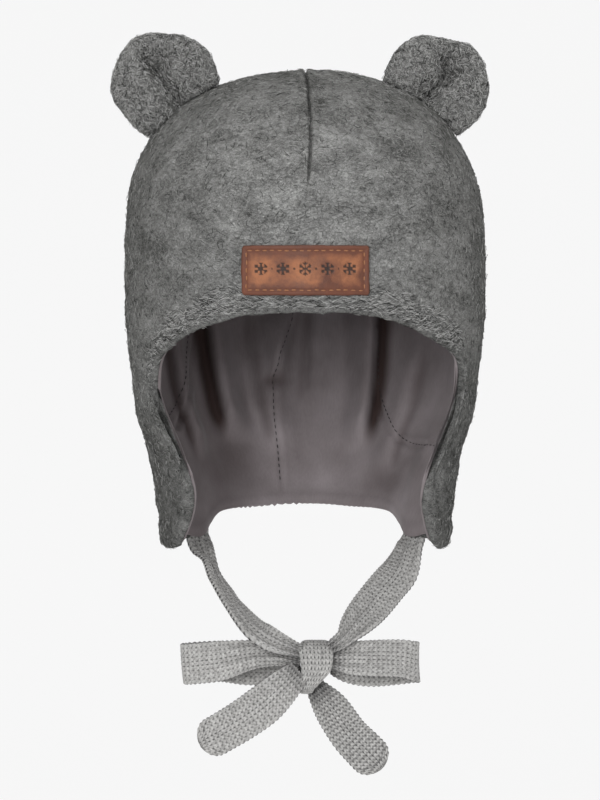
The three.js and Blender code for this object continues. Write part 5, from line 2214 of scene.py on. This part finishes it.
@dataclass
class Bow:
    """The ties sewn in at the flap tips, tied in a bow under the chin."""

    shape: HatShape
    cotton: Material
    knit: Knit = field(default_factory=Knit)
    tie_reach: float = 46.5
    knot_drop: float = 249.0
    knot_aside: float = 3.0
    knot_forward: float = 8.0
    knot_width: float = 14.5
    knot_height: float = 22.0
    knot_depth: float = 15.0
    left_loop_reach: float = 55.0
    right_loop_reach: float = 45.0
    loop_depth: float = 9.0
    left_tail_length: float = 48.0
    right_tail_length: float = 34.0
    edge_roll: float = 0.9
    tie_back: float = -0.22
    tip: float = 7.6

    @property
    def middle(self) -> Array:
        """The middle of the knot."""
        return np.array([self.knot_aside, -self.knot_forward, self.shape.wall - self.knot_drop])

    def knot_reach(self, sign: int, rise: float, back: float) -> float:
        """How far the knot's side stands from its middle.

        Args:
            sign: the side.
            rise: share of the knot's height.
            back: share of its depth.

        Returns:
            The distance.
        """
        wide, deep, aside = (float(read_table(KNOT_ROWS, "rise", name, rise))
                             for name in ("wide", "deep", "aside"))
        around = math.sqrt(max(0, 1 - (2 * back / deep) ** 2))
        return self.knot_width * (wide / 2 * around + sign * aside)

    def tie(self, side: Side, rise: float, back: float) -> Array:
        """The stations of a tie, from between felt and lining to the knot.

        Args:
            side: the side of the hat.
            rise: where it meets the knot, a share of the knot's height.
            back: the same, a share of its depth.

        Returns:
            The stations.
        """
        sign = side.value
        turn, drop = self.shape.edge(NAPE_EDGE, side, self.shape.nape_drop, 60)
        points = self.shape.off(turn, drop, np.full(len(turn), -self.shape.wall / 2))
        seat = next(i for i, p in enumerate(points) if i > 8 and abs(p[0]) <= self.tie_reach)
        along = points[seat + 2] - points[seat - 2]
        along = along / np.linalg.norm(along) * (-1 if sign > 0 else 1)
        top = points[seat] - np.array([0, 0, self.edge_roll + self.shape.gap * 2])
        end = self.middle
        end[0] += sign * (self.knot_reach(sign, rise, back) - 0.8)
        end[1] += self.knot_depth * back
        end[2] += self.knot_height * rise
        stations = [[*(top + np.array([0, 0, 4.5])), *along, 0.86], [*top, *along, 0.88]]
        width = self.knit.tape_width
        for row in TIES[side]:
            spot = top + (end - top) * row.along
            spot = spot + np.array([sign * row.out * width, row.back * width, 0])
            stations.append([*spot, sign * row.wx, row.wy, row.wz, row.width])
        return np.array(stations)

    def loop(self, side: Side, reach: float) -> Array:
        """The stations of a loop, out in front of the knot and back behind it.

        Args:
            side: the side of the knot.
            reach: how far the loop reaches from the knot's middle.

        Returns:
            The stations.
        """
        sign = side.value
        width = self.knit.tape_width
        rows = LOOPS[side]
        near = max(self.knot_reach(sign, width * (row.rise + half * row.width)
                                   / self.knot_height, 0)
                   for row in (rows[0], rows[-1]) for half in (-0.5, 0.5))
        stations = []
        for row in rows:
            far = near - 0.6 + (reach - self.knit.thickness / 2 - near + 0.6) * row.out
            spot = self.middle + np.array([sign * far, self.loop_depth * row.back, width * row.rise])
            stations.append([*spot, sign * row.wx, row.wy, row.wz, row.width])
        return np.array(stations)

    def tail(self, side: Side, length: float, foot: tuple[float, float, float]) -> Array:
        """The stations of a tail, down and out from the knot's foot.

        Args:
            side: the side of the knot.
            length: the tail's length.
            foot: where it leaves the knot, shares of its width, depth and height.

        Returns:
            The stations.
        """
        sign = side.value
        size = np.array([self.knot_width, self.knot_depth, self.knot_height])
        start = self.middle + size * np.array(foot)
        stations = []
        for row in TAILS[side]:
            spot = start + length * np.array([sign * row.out, row.back, -row.down])
            stations.append([*spot, sign * row.wx, row.wy, row.wz, row.width])
        return np.array(stations)

    def knot(self) -> None:
        """Builds the knot: the tape drawn tight over its front and under its foot."""
        knit = self.knit
        around = 200
        angle = np.linspace(0, 2 * math.pi, around, endpoint=False)
        top, foot = KNOT_ROWS[-1].rise + 0.02, KNOT_ROWS[0].rise
        middle_rise, half_rise = (top + foot) / 2, (top - foot) / 2
        rise = middle_rise + half_rise * np.sin(angle)
        wide = read_table(KNOT_ROWS, "rise", "wide", rise)
        aside = read_table(KNOT_ROWS, "rise", "aside", rise)
        side = np.linspace(-1, 1, knit.wales * knit.fine + 1)
        perimeter = math.pi * (self.knot_height + self.knot_depth) / 2
        along = angle / (2 * math.pi) * round(perimeter / knit.course) * knit.course
        rings, rises = [], []
        for s in side:
            stitch = knit.rise(np.full(around, s), along)
            plump = 1 - 0.22 * abs(s) ** 6
            ridge = 0.05 * math.sin(s * 7.5 + 0.6) + 0.04 * np.sin(s * 4 + 2 * angle)
            swell = plump + ridge * (1 - abs(s) ** 6)
            rope = np.sign(np.cos(angle)) * np.abs(np.cos(angle)) ** 0.85
            y = -self.knot_depth / 2 * rope * swell
            z = self.knot_height * (middle_rise + half_rise * np.sin(angle) * plump ** 0.5)
            x = self.knot_width * (aside + s * np.maximum(wide, 0.42) / 2)
            centre = np.stack([x, y, z], -1)
            out = unit(np.stack([0 * x, y / self.knot_depth, (z - self.knot_height * middle_rise)
                                 / self.knot_height], -1))
            rings.append(self.middle + centre + out * (knit.height * (stitch - 0.6))[:, None])
            rises.append(stitch)
        # The side dents are drawn darker than the stitches' tops: painted shade where the loops run into
        # the knot
        dent = []
        for s, ring in ((-1, rings[0]), (1, rings[-1])):
            hub = ring.mean(0)
            dent.append(hub - np.array([s * 1.2, 0, 0]))
            inner = hub + (ring - hub) * 0.55 - np.array([s * 0.6, 0, 0])
            if s < 0:
                rings.insert(0, inner)
                rises.insert(0, np.full(around, 0.5))
            else:
                rings.append(inner)
                rises.append(np.full(around, 0.5))
        points = np.concatenate([np.concatenate(rings), dent])
        faces = [face[::-1] for face in tube_faces(len(rings), around)]
        values = {"rise": np.concatenate([np.concatenate(rises), [0.5, 0.5]])}
        piece = make_piece("knot_band", points, faces, self.cotton, values)
        place_piece(piece, Slot.TAPE, "bow_knot")

    def build(self) -> None:
        """Builds the ties, the loops, the tails and the knot."""
        for side, rise, seed in ((Side.LEFT, 0.26, 1), (Side.RIGHT, 0.33, 2)):
            tape = Tape(self.knit, self.cotton, start_shade=0.25, end_shade=0.4, seed=seed)
            tape.build(f"tie_{side.word}_tape", f"tie_{side.word}", self.tie(side, rise, self.tie_back))
        for side, reach, seed in ((Side.LEFT, self.left_loop_reach, 3),
                                  (Side.RIGHT, self.right_loop_reach, 4)):
            tape = Tape(self.knit, self.cotton, start_shade=0.45, end_shade=0.45, seed=seed)
            tape.build(f"loop_{side.word}_tape", f"bow_loop_{side.word}", self.loop(side, reach))
        for side, length, foot, painted_dimming, shade, seed in (
                (Side.LEFT, self.left_tail_length, (-0.36, -0.36, -0.1), 0.08, 0.4, 5),
                (Side.RIGHT, self.right_tail_length, (0.08, 0.0, -0.42), 0.24, 0.5, 6)):
            tape = Tape(self.knit, self.cotton, tip=self.tip, painted_dimming=painted_dimming, start_shade=shade, seed=seed)
            tape.build(f"tail_{side.word}_tape", f"tail_{side.word}", self.tail(side, length, foot))
        self.knot()


# The studio

@dataclass
class Studio:
    """A pale seamless dish of studio paper, soft lights and the camera."""

    paper: Material
    floor: float = -1.75
    flat_radius: float = 3.6
    bend: float = 1.2
    wall: float = 3.4
    target: tuple[float, float, float] = (-0.0021, 0.0, -0.1338)
    distance: float = 1.6
    elevation: float = 1.2
    view_height: float = 0.3368
    sensor: float = 36.0

    def build_paper(self) -> None:
        """Builds the floor, which curves up far behind and all round."""
        radii = list(np.linspace(0.4, self.flat_radius, 6))
        heights = [self.floor] * len(radii)
        for angle in np.linspace(0, math.pi / 2, 13)[1:]:
            radii.append(self.flat_radius + self.bend * math.sin(angle))
            heights.append(self.floor + self.bend * (1 - math.cos(angle)))
        radii.append(radii[-1])
        heights.append(self.floor + self.wall)
        around = 96
        turn = np.linspace(0, 2 * math.pi, around, endpoint=False)
        rings = [np.stack([r * np.cos(turn), r * np.sin(turn), np.full(around, h)], -1)
                 for r, h in zip(radii, heights)]
        points = np.concatenate([np.concatenate(rings), [[0, 0, self.floor]]]) / MM
        faces = tube_faces(len(rings), around, poles=False)
        centre = len(rings) * around
        faces += [[centre, j, (j + 1) % around] for j in range(around)]
        floor = make_piece("studio_floor", points, faces, self.paper)

    def add_light(self, name: str, place: tuple[float, float, float], size: float, power: float) -> None:
        """Adds a square soft light that looks at the hat.

        Args:
            name: the light's name.
            place: where it hangs, in metres.
            size: its side, in metres.
            power: its power in watts.
        """
        data = bpy.data.lights.new(name, "AREA")
        data.size = size
        data.energy = power
        lamp = bpy.data.objects.new(name, data)
        bpy.context.scene.collection.objects.link(lamp)
        lamp.location = place
        look_at(lamp, self.target)

    def build_lights(self) -> None:
        """Hangs the lights and sets the pale sky."""
        self.add_light("key_softbox", (-0.5, -2.25, 0.3), 0.8, 30.0)
        self.add_light("fill_softbox", (1.7, -1.5, 0.5), 1.6, 7.0)
        self.add_light("top_softbox", (0.0, -0.3, 1.9), 1.4, 24.0)
        self.add_light("back_softbox", (0.3, 2.4, 0.7), 1.8, 38.0)
        world = bpy.data.worlds.new("pale_sky")
        bpy.context.scene.world = world
        world.use_nodes = True
        world.node_tree.nodes.clear()
        sky = add_node(world.node_tree, "Background", {"Color": linear("#f6f7f8"), "Strength": 0.3})
        add_node(world.node_tree, "OutputWorld", {"Surface": sky})

    def build_camera(self) -> None:
        """Puts the camera in front of the hat, at its middle and a little above."""
        data = bpy.data.cameras.new("camera")
        data.sensor_width = self.sensor
        data.lens = self.distance * self.sensor / self.view_height
        data.clip_end = 60
        camera = bpy.data.objects.new("camera", data)
        bpy.context.scene.collection.objects.link(camera)
        angle = math.radians(self.elevation)
        x, y, z = self.target
        camera.location = (x, y - self.distance * math.cos(angle), z + self.distance * math.sin(angle))
        look_at(camera, self.target)
        bpy.context.scene.camera = camera


def look_at(thing: Piece, target: tuple[float, float, float]) -> None:
    """Turns a light or camera to look at a place."""
    way = np.array(target) - np.array(thing.location)
    thing.rotation_euler = Vector(way).to_track_quat("-Z", "Y").to_euler()


def main() -> None:
    """Builds the hat, piece by piece, and its studio."""
    bpy.context.scene.view_settings.view_transform = "Standard"
    studio = Studio(StudioPaper().material())
    studio.build_camera()
    studio.build_paper()
    studio.build_lights()
    shape = HatShape()
    wool = BoiledWool(pale="#b6b6b4", level_bias=1.6).material()
    brushed = BoiledWool(name="brushed_boiled_wool", deep="#333332", pale="#a0a09e",
                         strand_share=0.06).material()
    brushed_fibre = WoolFibre("brushed_wool_fibre", "#262625", "#b6b6b4").material()
    FeltCrown(shape, wool, WoolFibre().material(), brushed_fibre).build()
    Lining(shape, CottonJersey().material(), SewingThread("lining_thread", "#2e2a2b").material()).build()
    Ear(shape, Side.LEFT, brushed, brushed_fibre, seat=39.8, lean=36, rise=0.49,
        crease=EAR_CREASES[Side.LEFT], fork=EAR_FORKS[Side.LEFT]).build()
    Ear(shape, Side.RIGHT, brushed, brushed_fibre, seat=37.7, lean=37, rise=0.33,
        crease=EAR_CREASES[Side.RIGHT], fork=EAR_FORKS[Side.RIGHT]).build()
    Patch(shape, TannedLeather().material(), SewingThread("patch_thread", "#8e6243").material()).build()
    Bow(shape, KnittedCotton().material()).build()


if __name__ == "__main__":
    main()
